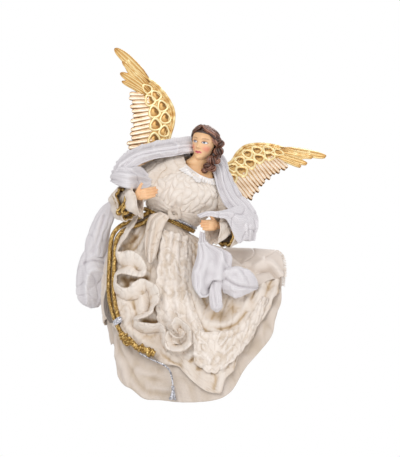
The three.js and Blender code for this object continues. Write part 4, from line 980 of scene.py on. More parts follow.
def silk_chiffon(tree, shader):
    """Sheer ecru chiffon: thin crinkled cloth that lets some of what is behind it through."""
    # painted shade: darker tan in the creases of the chiffon, by its fold depth
    stops = [(0.0, "#b9a68d"), (1.0, "#ebe1d7"), (0.4, "#d1c2b0"), (0.55, "#dacdbf")]
    coat(tree, shader, fold_share(tree, 3.2), stops, mottle(tree, 0.004, 3.0), 0.45, 0.0009)
    weave = threads(tree, 1.2, 3.0)  # real threads are 0.3 mm apart, too fine to show
    gaps = put(tree, "MapRange", {"Value": weave, "To Min": 0.72, "To Max": 0.94})
    feed(shader, {"Alpha": gaps.outputs["Result"], "Roughness": 0.8, "Sheen Weight": 0.25, "IOR": 1.46})


def duchess_satin(tree, shader):
    """Cream satin: smooth close weave with a soft shine."""
    weave = threads(tree, 1.0, 1.0)  # real threads are 0.15 mm apart, too fine to show
    # painted shade: darker in the creases of the satin, by its fold depth
    stops = [(0.0, "#a38d78"), (1.0, "#e9dfd5"), (0.5, "#d8ccc0")]
    coat(tree, shader, fold_share(tree, 3.0), stops, weave, 0.12, 0.0002)
    feed(shader, {"Roughness": 0.45, "Sheen Weight": 0.3, "Anisotropic": 0.4})


def gold_paint(tree, shader, low, body, high):
    """Cast resin under gold paint with a faint mottle: painted highlight on its ridges, painted brown shade
    in its recesses.
    """
    # the relief share: painted highlight where the casting is high, painted shade where it is low
    relief = put(tree, "Attribute", attribute_name="fold").outputs["Fac"]
    brush = mottle(tree, 0.004, 5.0)
    wear = put(tree, "Math", {0: brush, 1: 0.3, 2: -0.15}, operation="MULTIPLY_ADD")
    total = put(tree, "Math", {0: relief, 1: wear.outputs[0]})
    stops = [(0.0, "#6f4f1d"), (1.0, high), (0.25, low), (0.6, body)]
    coat(tree, shader, total.outputs[0], stops, brush, 0.25, 0.0005)
    feed(shader, {"Roughness": 0.34, "Metallic": 0.45, "Specular IOR Level": 0.6})


def painted_resin(tree, shader):
    """Cast resin under flesh paint: smooth and satin, with the brushed face and a faint mottle."""
    colour = put(tree, "Attribute", attribute_name="paint").outputs["Color"]
    spots = mottle(tree, 0.005, 3.0)
    shade = put(tree, "MapRange", {"Value": spots, "To Min": 0.9, "To Max": 1.06})
    both = {0: 1.0, 6: colour, 7: shade.outputs["Result"]}
    blend = put(tree, "Mix", both, data_type="RGBA", blend_type="MULTIPLY")
    bump = put(tree, "Bump", {"Height": spots, "Strength": 0.06, "Distance": 0.0005})
    feed(shader, {"Base Color": blend.outputs[2], "Normal": bump.outputs["Normal"], "Roughness": 0.42})
    feed(shader, {"Subsurface Weight": 0.08, "Subsurface Radius": (0.002, 0.001, 0.0006)})


def painted_hair(tree, shader):
    """Cast locks under brown paint with a brushed mottle: painted shade between the strands, painted
    highlight on their ridges.
    """
    relief = put(tree, "Attribute", attribute_name="fold").outputs["Fac"]
    brush = mottle(tree, 0.0025, 4.0)
    # painted highlight on the ridges of the locks, painted shade in their grooves
    lit = put(tree, "Math", {0: relief, 1: 0.55}, operation="MULTIPLY").outputs[0]
    share = put(tree, "Math", {0: brush, 1: 0.5, 2: lit}, operation="MULTIPLY_ADD").outputs[0]
    stops = [(0.1, "#190d09"), (0.96, "#b3846c"), (0.4, "#452719"), (0.66, "#774a38")]
    coat(tree, shader, share, stops, brush, 0.4, 0.0006)
    feed(shader, {"Roughness": 0.36, "Specular IOR Level": 0.55})


def metal_yarn(tree, shader, dark, body, bright):
    """Yarn wound with metal foil: tiny facets at random over a darker core, the brightest of them painted
    glints.
    """
    place = put(tree, "TexCoord").outputs["Object"]
    facets = put(tree, "TexVoronoi", {"Vector": place, "Scale": 1 / 0.0007})
    glint = put(tree, "SeparateColor", {"Color": facets.outputs["Color"]})
    # the bright stop is a painted glint on the foil
    stops = [(0.0, dark), (1.0, bright), (0.5, body)]
    coat(tree, shader, glint.outputs["Red"], stops, glint.outputs["Green"], 0.5, 0.0003)
    feed(shader, {"Roughness": 0.32, "Metallic": 0.8})


def taupe_organza(tree, shader):
    """Sheer taupe ribbon: crisp, glossy and see-through."""
    weave = threads(tree, 0.9, 0.5)  # real threads are 0.2 mm apart, too fine to show
    tint = put(tree, "ValToRGB", {"Fac": weave}, [(0.0, "#5f5348"), (1.0, "#a99c90")])
    gaps = put(tree, "MapRange", {"Value": weave, "To Min": 0.5, "To Max": 0.85})
    feed(shader, {"Base Color": tint.outputs["Color"], "Alpha": gaps.outputs["Result"]})
    feed(shader, {"Roughness": 0.35, "Sheen Weight": 0.3})


def zinc_steel(tree, shader):
    """Zinc-plated steel wire and screws: dull silver with a faint drawn grain."""
    grain = mottle(tree, 0.0015, 4.0)
    rough = put(tree, "MapRange", {"Value": grain, "To Min": 0.3, "To Max": 0.55})
    tint = put(tree, "ValToRGB", {"Fac": grain}, [(0.2, "#8b8c90"), (0.8, "#c3c4c8")])
    feed(shader, {"Base Color": tint.outputs["Color"], "Roughness": rough.outputs["Result"]})
    feed(shader, {"Metallic": 1.0})


def sawn_pine(tree, shader):
    """Bare sawn pine: pale yellow with brown late wood every few millimetres."""
    place = put(tree, "TexCoord").outputs["Object"]
    bands = {"Vector": place, "Scale": WAVE_BAND / 0.004, "Distortion": 3.0, "Detail": 3.0}
    grain = put(tree, "TexWave", bands, bands_direction="X").outputs["Fac"]
    coat(tree, shader, grain, [(0.1, "#b98a55"), (0.8, "#dcbd8c")], grain, 0.2, 0.0003)
    feed(shader, {"Roughness": 0.75})


def polyester_fill(tree, shader):
    """Loose white filling: soft matt fluff without a grain."""
    fluff = mottle(tree, 0.003, 6.0)
    coat(tree, shader, fluff, [(0.3, "#cfc9bd"), (0.7, "#f4f1ea")], fluff, 0.8, 0.002)
    feed(shader, {"Roughness": 1.0, "Sheen Weight": 0.4})


def pale_floor(tree, shader, colour):
    """Matt painted floor of one pale colour."""
    feed(shader, {"Base Color": colour, "Roughness": 0.8})


def finish(maker, *colours, name=None):
    """The material of that maker, made once."""
    name = name or maker.__name__.replace("_", " ")
    material = bpy.data.materials.get(name)
    if material is None:
        material = bpy.data.materials.new(name)
        material.use_nodes = True
        tree = material.node_tree
        maker(tree, tree.nodes["Principled BSDF"], *colours)
    return material


def cream_lace():
    """The lace of the skirt."""
    return finish(cotton_lace, "#a0866a", "#d0bfaa", "#e1d5c7", "#f5ede4", name="cream lace")


def white_lace():
    """The whiter lace at the neck."""
    return finish(cotton_lace, "#b7aca1", "#dad2ca", "#ebe6e1", "#f8f6f3", name="white lace")


def gold_thread():
    """The old gold yarn of the cords and braids."""
    return finish(metal_yarn, "#553e18", "#9c7536", "#e2c684", name="gold yarn")


def silver_thread():
    """The silver yarn of the fine cord and its tassel."""
    return finish(metal_yarn, "#77777d", "#bcbcc3", "#fbfbff", name="silver yarn")


# Sizes and colours that a user would change


class AngelGown(bpy.types.PropertyGroup):
    """Cloth of the gown and shawl."""

    linen: bpy.props.FloatProperty(
        name="Linen", description="Thickness of the stiffened linen", default=0.0008, unit="LENGTH"
    )
    gauze: bpy.props.FloatProperty(
        name="Gauze", description="Thickness of the white gauze", default=0.0006, unit="LENGTH"
    )
    crumple: bpy.props.FloatProperty(
        name="Crumple", description="Height of the small creases", default=0.0009, unit="LENGTH"
    )
    ruffle_stand: bpy.props.FloatProperty(
        name="Ruffle Stand", description="Height of a ruffle over the skirt", default=0.009, unit="LENGTH"
    )


class AngelTrim(bpy.types.PropertyGroup):
    """Cords, braids and tassel."""

    gold_cord: bpy.props.FloatProperty(
        name="Gold Cord", description="Diameter of each gold strand", default=0.0038, unit="LENGTH"
    )
    silver_cord: bpy.props.FloatProperty(
        name="Silver Cord", description="Diameter of the silver cord", default=0.0016, unit="LENGTH"
    )
    tassel_threads: bpy.props.IntProperty(
        name="Tassel Threads", description="Number of threads in the tassel", default=70
    )


class AngelStage(bpy.types.PropertyGroup):
    """Floor, light and camera."""

    floor: bpy.props.FloatVectorProperty(
        name="Floor", description="Colour of the floor", default=linear("#f4f3f1")[:3], subtype="COLOR"
    )
    distance: bpy.props.FloatProperty(
        name="Camera Distance", description="Camera to the figure", default=5.0, unit="LENGTH"
    )
    pixel: bpy.props.FloatProperty(
        name="Pixel", description="Size of a picture element at the figure", default=0.00085, unit="LENGTH"
    )


# Operators, one for each piece or group of like pieces


class ANGEL_OT_stage(bpy.types.Operator):
    """Set up the floor, the light, the background and the camera"""

    bl_idname = "angel.stage"
    bl_label = "Stage"

    def execute(self, context):
        settings = context.scene.angel_stage
        scene = context.scene
        scene.view_settings.view_transform = "Standard"
        camera = bpy.data.objects.new("camera", bpy.data.cameras.new("camera"))
        scene.collection.objects.link(camera)
        wide, high = PICTURE
        aside, level = (wide / 2 - ORIGIN[0]) * settings.pixel, (ORIGIN[1] - high / 2) * settings.pixel
        camera.location = (aside, FIGURE_DEPTH - settings.distance, level)
        camera.rotation_euler = (math.pi / 2, 0, 0)
        camera.data.lens = camera.data.sensor_width * settings.distance / (high * settings.pixel)
        camera.data.clip_end = 20
        scene.camera = camera
        self.light(scene)
        floor = self.floor(settings)
        return {"FINISHED"}

    def light(self, scene):
        """Soft even room light, a large key from the upper left and a weaker fill."""
        world = bpy.data.worlds.new("studio")
        scene.world = world
        world.use_nodes = True
        tree = world.node_tree
        room = tree.nodes["Background"]
        feed(room, {"Color": linear("#f5f3f8"), "Strength": 0.64})
        white = put(tree, "Background", {"Color": (1, 1, 1, 1), "Strength": 1.0})
        ray = put(tree, "LightPath")
        seen = {0: ray.outputs["Is Camera Ray"], 1: ray.outputs["Is Glossy Ray"]}
        shown = put(tree, "Math", seen, operation="MAXIMUM")
        through = {0: shown.outputs[0], 1: ray.outputs["Is Transmission Ray"]}
        any_ray = put(tree, "Math", through, operation="MAXIMUM")
        choice = {0: any_ray.outputs[0], 1: room.outputs[0], 2: white.outputs[0]}
        mixed = put(tree, "MixShader", choice)
        feed(tree.nodes["World Output"], {"Surface": mixed.outputs[0]})
        lamps = [
            ("key", (-0.5, -1.25, 0.7), 0.8, 8.6),
            ("fill", (0.9, -1.2, -0.2), 1.0, 6.6),
            ("rim", (0.5, 0.9, 0.8), 0.6, 6.0),
        ]
        for name, place, size, power in lamps:
            lamp = bpy.data.lights.new(name, "AREA")
            lamp.energy = power
            lamp.size = size
            holder = bpy.data.objects.new(name, lamp)
            holder.location = place
            aim = np.array(LIT_POINT) - np.array(place)
            tilt = math.atan2(math.hypot(aim[0], aim[1]), -aim[2])
            holder.rotation_euler = (tilt, 0, math.atan2(aim[1], aim[0]) - math.pi / 2)
            scene.collection.objects.link(holder)

    def floor(self, settings):
        """A round pale floor below the hanging figure."""
        angle = turns(64)
        rim = [FLOOR_RADIUS * np.cos(angle), FLOOR_RADIUS * np.sin(angle), np.full(64, FLOOR_LEVEL)]
        material = finish(pale_floor, (*settings.floor, 1))
        return add_mesh("floor", np.stack(rim, -1), [list(range(64))], material)


class ANGEL_OT_cords(bpy.types.Operator):
    """Lay the gold and silver cords, their wrapped end, the ribbon and the tassel"""

    bl_idname = "angel.cords"
    bl_label = "Cords"

    def execute(self, context):
        trim = context.scene.angel_trim
        wrap = self.wrap()
        knot = self.knot()
        gold = trim.gold_cord / MM
        self.lay("gold_cord_outer", OUTER_ROUTE, gold, 5, gold_thread(), "fitting", [wrap, knot])
        self.lay("gold_cord_inner", INNER_ROUTE, gold, 5, gold_thread(), "object", [])
        tassel = self.tassel(trim)
        silver = trim.silver_cord / MM
        self.lay("silver_cord", SILVER_ROUTE, silver, 3, silver_thread(), "fitting", [tassel])
        self.binding()
        self.ribbon()
        return {"FINISHED"}

    def lay(self, node, route, diameter, count, material, far_end, pieces):
        """A laid cord along its route."""
        path = evenly(route, CORD_STEP)
        points, faces = plies(path, diameter / 2, count, CORD_TWIST * diameter)
        piece = add_mesh(f"{node}_yarn", points, faces, material)
        dress(piece, "gold_thread" if "gold" in node else "silver_thread", node)
        travel(path)[-1] * MM

    def binding(self):
        """Turns of silver yarn that tie the inner gold cord's end to the outer cord."""
        inner, outer = evenly(INNER_ROUTE, CORD_STEP), evenly(OUTER_ROUTE, CORD_STEP)
        end = inner[-4]
        near = outer[np.linalg.norm(outer - end, axis=1).argmin()]
        along = unit(inner[-1] - inner[-10])
        aside = near - end - along * ((near - end) @ along)
        half = np.linalg.norm(aside) / 2 + 2.2
        aside = unit(aside)
        at = rows_of(220)
        turn = 7 * TURN * at
        ring = half * np.cos(turn) * aside + 2.3 * np.sin(turn) * np.cross(along, aside)
        path = (end + near) / 2 + ring * mix(1, 0.7, rise(0.6, 1, at)) + mix(-1.6, 3.4, at) * along
        trim(add_mesh("cord_binding", *tube(path, BINDING_YARN, 8), silver_thread()), "silver_thread")

    def wrap(self):
        """Crumpled gold cloth wound round the cords' end."""
        path = evenly(WRAP_ROUTE, 0.4)
        rings = rings_along(path, 1.0, 28)
        spokes = rings - path[:, None]
        wound = np.sin(TURN * travel(path) / 3.4)[:, None] + np.sin(3 * np.arange(28) / 28 * TURN)[None]
        size = 2.9 + 0.3 * wound + 0.7 * lumps(rings, 3.6, 3)
        size = size * mix(0.7, 1, rise(0, 3, travel(path)))[:, None]
        rings = path[:, None] + spokes * size[..., None]
        piece = add_mesh("gold_wrap_cloth", *skin(rings), gold_thread())
        return dress(piece, "gold_thread", "gold_wrap")

    def knot(self):
        """The knot of the wound gold cloth: loops of a narrow strip tied tight."""
        middle = spline(WRAP_ROUTE, 0.28)
        angle = np.linspace(0, TURN, 140)
        loops = []
        for k in range(3):
            tilt = k * 2.1
            reach = 3.1 + 0.3 * np.sin(3 * angle + k)
            ring = np.stack([np.cos(angle), np.sin(angle) * np.cos(tilt), np.sin(angle) * np.sin(tilt)], -1)
            path = middle + reach[:, None] * ring * (1.1, 0.95, 1.1)
            loops.append(tube(path, 1.25 + 0.3 * np.sin(7 * angle + k)[:, None], 8))
        piece = add_mesh("gold_knot_cloth", *pile(loops), gold_thread())
        return dress(piece, "gold_thread", "gold_knot")

    def tassel(self, trim):
        """A bound head with loose silver threads that flare below it."""
        top = np.array(SILVER_ROUTE[-1]) - (0, 0, 0.3)
        down = np.linspace(0, 1, 14)
        head = np.array([0.3, 1.3, 1.7, 1.75, 1.5, 1.15, 1.35, 1.3, 1.1])
        drop = np.linspace(0, TASSEL_HEAD, len(head))
        axis = top - np.stack([0 * drop, 0 * drop, drop], -1)
        parts = [skin(rings_along(axis, head[:, None] * (1 + 0.06 * np.cos(6 * np.arange(24))), 24))]
        random = np.random.default_rng(5)
        for _ in range(trim.tassel_threads):
            angle = random.uniform(0, TURN)
            reach = random.uniform(0.2, 1.0) ** 0.5
            length = random.uniform(0.86, 1.0) * TASSEL_LENGTH
            out = mix(0.9, 3.1, down**1.4) * reach + 0.25 * np.sin(5 * down + angle)
            sway = angle + 0.3 * down * random.normal()
            path = top + np.stack([out * np.cos(sway), out * np.sin(sway), -mix(3.0, length, down)], -1)
            parts.append(tube(path, 0.2, 4))
        piece = add_mesh("silver_tassel_threads", *pile(parts), silver_thread())
        return dress(piece, "silver_thread", "silver_tassel", body="tassel")

    def ribbon(self):
        """A crumpled strip of sheer ribbon that hangs beside the gold cords."""
        at = rows_of(60)
        middle = spline(RIBBON_ROUTE, at[:, 0])
        across = np.linspace(-1, 1, 33)[None, :]
        half = RIBBON_HALF * mix(0.7, 1, np.sin(math.pi * at))
        grid = np.repeat(middle[:, None], 33, 1)
        grid[..., 0] += across * half
        grid[..., 1] += 0.75 * np.sin(3.5 * math.pi * across + 2 * at) + 0.3 * np.sin(14 * at)
        behind = middle.mean(0) + (0, 40, 0)
        sheet = cloth("taupe_ribbon_sheer", grid, finish(taupe_organza), ORGANZA_THICK, behind)
        sew(sheet, "sheer_cloth", ["taupe_ribbon"])


class ANGEL_OT_hanger(bpy.types.Operator):
    """Finish the ring, plate, screws, wires and block behind the figure"""

    bl_idname = "angel.hanger"
    bl_label = "Hanger"

    def execute(self, context):
        angle = np.linspace(0, TURN, 97)
        circle = RING_RADIUS * np.stack([np.cos(angle), 0 * angle, np.sin(angle)], -1)
        path = turned(circle - (0, 0, RING_DROP), "z", BODY_YAW)
        ring = add_mesh("hanging_ring_wire", *tube(path, RING_WIRE, 16), finish(zinc_steel))
        dress(ring, "steel", "hanging_ring", body="ring")
        for name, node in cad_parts.items():
            if "screw" in name or "wire" in name or name == "hanger_plate":
                self.paint(node, finish(zinc_steel))
        self.paint(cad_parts["back_block"], finish(sawn_pine))
        return {"FINISHED"}

    def paint(self, node, material):
        """Puts a finish on a node's own slots."""
        for holder in node.material_slots:
            holder.material = material


class ANGEL_OT_wings(bpy.types.Operator):
    """Cast the two wings with their scales, ribs and long feathers"""

    bl_idname = "angel.wings"
    bl_label = "Wings"

    def execute(self, context):
        bright = finish(gold_paint, "#b5813f", "#d9b06c", "#f6e6b2", name="bright gold paint")
        pale = finish(gold_paint, "#986c3e", "#dfbe98", "#f7e8d3", name="pale gold paint")
        for side in WING_STANCE:
            self.cast(f"{side}_wing_blade", side, self.blade(), bright)
            self.cast(f"{side}_wing_ribs", side, self.ribs(), pale)
            self.lug(side, bright)
        return {"FINISHED"}

    def cast(self, name, side, parts, material):
        """One casting of several parts in a wing's place."""
        points, faces, relief = pile_relief(parts)
        place = turned(on_wing(points, side), "z", -BODY_YAW)
        way = 1 if side == "left" else -1
        place[:, 0] = way * np.maximum(way * place[:, 0], RING_ROOM)
        piece = add_mesh(name, turned(place, "z", BODY_YAW), faces, material, fold=relief)
        dress(piece, "gold_paint", f"{side}_wing")

    def lug(self, side, material):
        """The flat foot of a wing, screwed to the back of the block."""
        angle = turns(64)
        corner = np.stack([np.cos(angle), np.sin(angle)], -1)
        outline = np.sign(corner) * np.abs(corner) ** 0.3
        middle = np.array(LUG_MIDDLE) * (1 if side == "left" else -1, 1)
        rings = []
        for level, inset in LUG_LAYERS:
            flat = middle + outline * (np.array(LUG_HALF) - inset)
            rings.append(np.insert(flat, 1, level, axis=1))
        points, faces = skin(turned(np.array(rings), "z", BODY_YAW))
        piece = add_mesh(f"{side}_wing_lug", points, faces, material, fold=np.full(len(points), 0.66))
        dress(piece, "gold_paint", f"{side}_wing")

    def blade(self):
        """Plate, leading bands, scales on both faces and long feathers."""
        parts = [self.plate()]
        at = np.linspace(0.05, 0.86, 130)
        edge = spline(WING_LEADING, at)
        ahead = unit(np.gradient(edge, axis=0))
        for inset, size, thick in ((0.5, 1.3, 1.8), (3.0, 0.9, 1.9), (5.0, 0.6, 1.6)):
            line = edge + inset * np.stack([ahead[:, 1], -ahead[:, 0]], -1)
            rings = rings_along(np.concatenate([line, np.zeros((130, 1))], 1), size, 10)
            rings[..., 2] *= thick / size
            wave = 0.72 + 0.28 * np.sin(90 * at) * np.sin(31 * at)
            parts.append((*skin(rings), np.repeat(wave, 10)))
        for u, v, along, across, lean in WING_CELLS:
            for face in (1, -1):
                parts.append(self.scale(u, v, along, across, math.radians(lean), face))
        for root, tip, half in WING_PRIMARIES:
            parts.append(self.feather(root, tip, half))
        return parts

    def plate(self):
        """The thin blade between the leading and the trailing edge."""
        at = np.linspace(0, 1, 100)
        leading, trailing = spline(WING_LEADING, at), spline(WING_TRAILING, at)
        share = np.linspace(0, 1, 12)
        face = leading[:, None] + (trailing - leading)[:, None] * share[None, :, None]
        thick = 0.9 * (1 - (2 * share - 1) ** 6) + 0.15
        front = np.concatenate([face, np.broadcast_to(thick[:, None], (100, 12, 1))], -1)
        rings = np.concatenate([front, (front * (1, 1, -1))[:, ::-1]], 1)
        return (*skin(rings), 0.72)

    def scale(self, u, v, along, across, lean, face):
        """One scale: a raised pear-shaped rim with a hollow floor, on one face of the blade."""
        angle = turns(36)
        reach = np.array([0.02, 0.3, 0.5, 0.6, 0.68, 0.76, 0.86, 1.0, 1.12, 1.22, 1.32])
        height = np.array([1.45, 1.4, 1.25, 1.14, 1.25, 1.75, 2.25, 2.35, 1.95, 1.35, 0.7])
        # colour share of each ring: painted highlight on the rim, painted shade on the hollow floor
        relief = np.array([0.42, 0.4, 0.32, 0.12, 0.16, 0.7, 1.0, 1.0, 0.85, 0.7, 0.6])
        pear = 1 - 0.3 * np.cos(angle)
        x = reach[:, None] * along * np.cos(angle) * (1 + 0.1 * np.cos(angle))
        y = reach[:, None] * across * np.sin(angle) * pear
        bent_x = x * math.cos(lean) - y * math.sin(lean)
        bent_y = x * math.sin(lean) + y * math.cos(lean)
        level = np.broadcast_to(height[:, None] * face, x.shape)
        rings = np.stack([u + bent_x, v + bent_y, level], -1)
        # a painted shadow across one side of the hollow floor
        shade = 0.4 * rise(0.8, 0.6, reach)[:, None] * np.clip(np.sin(angle + lean), -0.5, 1)
        return (*skin(rings), np.clip(relief[:, None] - shade, 0, 1).ravel())

    def feather(self, root, tip, half):
        """A long feather with sweeping grooves along it, the same on both faces."""
        at = rows_of(60)
        across = np.linspace(-1, 1, 17)[None, :]
        rounded = (1 - np.clip((at - 0.55) / 0.45, 0, 1) ** 2.6) ** 0.5
        width = half * rounded * mix(0.75, 1, rise(0, 0.3, at))
        grooves = np.cos(TURN * 1.4 * (across + 0.25 * np.sin(2.6 * at)))
        crown = (1 - across**2) ** 0.5
        level = 0.25 + 1.7 * crown * (1 - 0.35 * at) + 0.35 * grooves * crown
        # colour share: painted highlight on the ridges, painted shade in the grooves and at the root, and
        # darker towards the tip
        relief = 0.62 + 0.34 * grooves * mix(1, 0.4, at)
        relief = relief - 0.45 * rise(0.4, 0.05, at) - 0.3 * rise(0.86, 1, at)
        return self.vane(root, tip, at, across * width + 1.2 * np.sin(math.pi * at), level, relief)

    def ribs(self):
        """The row of close parallel feathers along the trailing edge, like fingers."""
        at = rows_of(30)
        across = np.linspace(-1, 1, 13)[None, :]
        parts = []
        for k, share in enumerate(np.linspace(0, 1, 20)):
            root, tip = spline(WING_RIB_ROOTS, share), spline(WING_RIB_TIPS, share)
            tip = root + (tip - root) * (1.04 + 0.08 * math.sin(2.4 * k))
            width = 2.1 * (1 - np.clip((at - 0.82) / 0.18, 0, 1) ** 2.4) ** 0.5
            ridge = (1 - across**2) ** 0.5
            level = 0.35 + 1.0 * ridge - 0.3 * hill(across - 0.15, 0.16) + 0.2 * (1 - at)
            # colour share: painted highlight along the middle of each rib, painted shade in its groove, and
            # a slight random ripple
            lit = np.clip(1.25 - 1.35 * np.abs(across) ** 1.4, 0, 1)
            relief = 0.95 * lit - 0.3 * hill(across - 0.15, 0.14) + 0.08 * np.sin(9 * at + k)
            parts.append(self.vane(root, tip, at, across * width, level, relief))
        return parts

    def vane(self, root, tip, at, aside, level, relief):
        """A flat feather from its root to its tip, with the same relief on both faces."""
        root, tip = np.array(root), np.array(tip)
        ahead = unit(tip - root)
        flat = root + at[..., None] * (tip - root) + aside[..., None] * np.array((-ahead[1], ahead[0]))
        front = np.concatenate([flat, level[..., None]], -1)
        rings = np.concatenate([front, (front * (1, 1, -1))[:, ::-1]], 1)
        both = np.concatenate([relief, relief[:, ::-1]], 1)
        return (*skin(rings), np.clip(both, 0, 1).ravel())


class ANGEL_OT_head(bpy.types.Operator):
    """Model the head and bust with the painted face"""

    bl_idname = "angel.head"
    bl_label = "Head and Bust"

    def execute(self, context):
        rings = head_rings(0.0)
        paint = self.face_paint(rings)
        bust = self.bust()
        flesh = np.broadcast_to(np.array(linear("#e9bd8c")), (bust.shape[0] * bust.shape[1], 4))
        shadow = 0.3 * rise(6, -2, bust[..., 2].ravel()) + 0.25 * rise(-6, -12, bust[..., 0].ravel())
        flesh = mix(flesh, np.array(linear("#b8783c")), np.clip(shadow, 0, 0.5)[:, None])
        points, faces = pile([skin(in_head(rings)), skin(bust)])
        colours = np.concatenate([paint.reshape(-1, 4), flesh])
        piece = add_mesh("head_and_bust", points, faces, finish(painted_resin), paint=colours)
        dress(piece, "painted_skin", "head_bust")
        return {"FINISHED"}

    def bust(self):
        """The neck and the shoulder plate below it."""
        # Middle, half width and half depth
        stations = [
            (5.0, -25.5, 13, 6.6, 6.6), (3.2, -26, 8, 7.2, 6.8), (0.6, -26, 4, 9.6, 7.4),
            (0.2, -25.6, 1, 11.0, 8.2), (1.2, -25.2, -2, 11.6, 8.8), (1.2, -25, -6, 13.6, 10.4),
            (1, -25, -10, 14.2, 11), (1, -25, -16, 12.5, 9.8), (1, -25, -19, 8, 6),
        ]
        shape = spline(stations, np.linspace(0, 1, 40))
        angle = turns(64)
        middle_x, middle_y, level, wide, deep = (column[:, None] for column in shape.T)
        x = middle_x + wide * np.cos(angle)
        y = middle_y + deep * np.sin(angle)
        z = np.broadcast_to(level, x.shape) - 0.25 * (x - middle_x) * rise(6, -4, level)
        return np.stack([x, y, z], -1)

    def face_paint(self, rings):
        """Flesh with blush, lips, brows and eyes brushed on."""
        x, y, z = np.moveaxis(rings, -1, 0)
        front = rise(-2, -5, y)
        paint = np.broadcast_to(np.array(linear("#ecc294")), x.shape + (4,))
        side = np.abs(x)

        def brush(colour, share):
            return mix(paint, np.array(linear(colour)), np.clip(share * front, 0, 1)[..., None])

        paint = brush("#d9a06a", 0.35 * hill(z - 8, 4))
        paint = brush("#e5826f", 0.75 * hill(np.hypot(side - 5.6, z + 4.2), 2.6))
        paint = brush("#c98d5c", 0.4 * hill(np.hypot(side - 3.9, (z - 2.4) * 1.6), 2.0))
        brow = z - 4.3 + 0.07 * (side - 4.2) ** 2
        paint = brush("#8d6246", 0.75 * hill(brow, 0.42) * rise(1.4, 2.2, side) * rise(7.2, 6, side))
        lip = np.hypot(x / 3.1, (z + 7.6 + 0.25 * np.cos(2.4 * x)) / 1.05)
        paint = brush("#d4606e", rise(1.1, 0.75, lip))
        parting = z + 7.5 + 0.12 * np.cos(2.4 * x)
        paint = brush("#8e3444", 0.7 * hill(parting, 0.2) * rise(2.5, 2, side))
        u, v = (side - 3.95) / 2.0, (z - 1.0) / 0.95
        eye = np.hypot(u, v)
        paint = brush("#9a6f58", 0.8 * rise(1.45, 1.1, eye))
        paint = brush("#eceef2", rise(1.05, 0.85, eye))
        look = np.hypot(x - np.sign(x) * 3.95 + 0.35, z - 1.1)
        paint = brush("#55697c", rise(0.98, 0.78, look) * rise(1.1, 0.9, eye))
        paint = brush("#15161b", rise(0.52, 0.38, look))
        lash = v - 0.9 * (1 - np.minimum(u * u, 1.2)) - 0.05
        paint = brush("#4a2e26", 0.9 * hill(lash, 0.22) * rise(1.25, 1.0, np.abs(u)))
        return paint


def head_rings(offset):
    """The head in its own frame: stacked ovals with brow, eyes, nose, cheeks, lips and chin."""
    # Height, half width, depth to the front and to the back
    stations = [
        (-14.2, 0.6, 8.2, -5.6), (-13.6, 3.0, 9.3, -2.0), (-11.5, 4.9, 9.9, 1.5), (-8, 6.6, 9.9, 5.5),
        (-4, 7.9, 10.1, 9), (0, 8.7, 10.0, 10.6), (4, 8.9, 10.3, 11), (8, 7.9, 9.2, 9.8),
        (11, 4.9, 5.8, 6.4), (12, 0.6, 0.7, 0.7),
    ]
    shape = spline(stations, np.linspace(0, 1, 120))
    even = turns(168)
    angle = even - 0.42 * np.sin(2 * even)  # closer together at the front and back
    z = np.broadcast_to(shape[:, 0, None], (120, 168)).copy()
    x = (shape[:, 1, None] + offset) * np.sin(angle)
    deep = np.where(np.cos(angle) > 0, shape[:, 2, None] + offset, shape[:, 3, None] + offset)
    y = -deep * np.cos(angle)
    front = rise(0, -6, y)
    side = np.abs(x)
    ridge = rise(2.8, -3.4, z) * rise(-4.9, -3.5, z)
    push = 2.5 * hill(x, 1.25 + 0.5 * rise(0, -4, z)) * ridge
    push += 0.5 * hill(side - 1.4, 0.7) * hill(z + 3.9, 0.8)
    push -= 1.0 * hill(side - 3.9, 2.0) * hill(z - 1.0, 1.5)
    push += 0.75 * hill(side - 3.95, 1.35) * hill(z - 1.0, 0.85)
    push += 0.35 * hill(side - 3.6, 2.6) * hill(z - 3.9, 1.0)
    push += 0.7 * hill(side - 5.2, 2.4) * hill(z + 4.4, 2.4)
    push += 0.75 * hill(x, 2.3) * (hill(z + 7.0, 0.55) + 1.1 * hill(z + 8.4, 0.7))
    push -= 0.5 * hill(x, 2.4) * hill(z + 7.6, 0.28)
    push -= 0.5 * hill(x, 2.6) * hill(z + 10.0, 0.8)
    push += 0.7 * hill(x, 2.6) * hill(z + 12.2, 1.3)
    y = y - push * front
    return np.stack([x, y, z], -1)


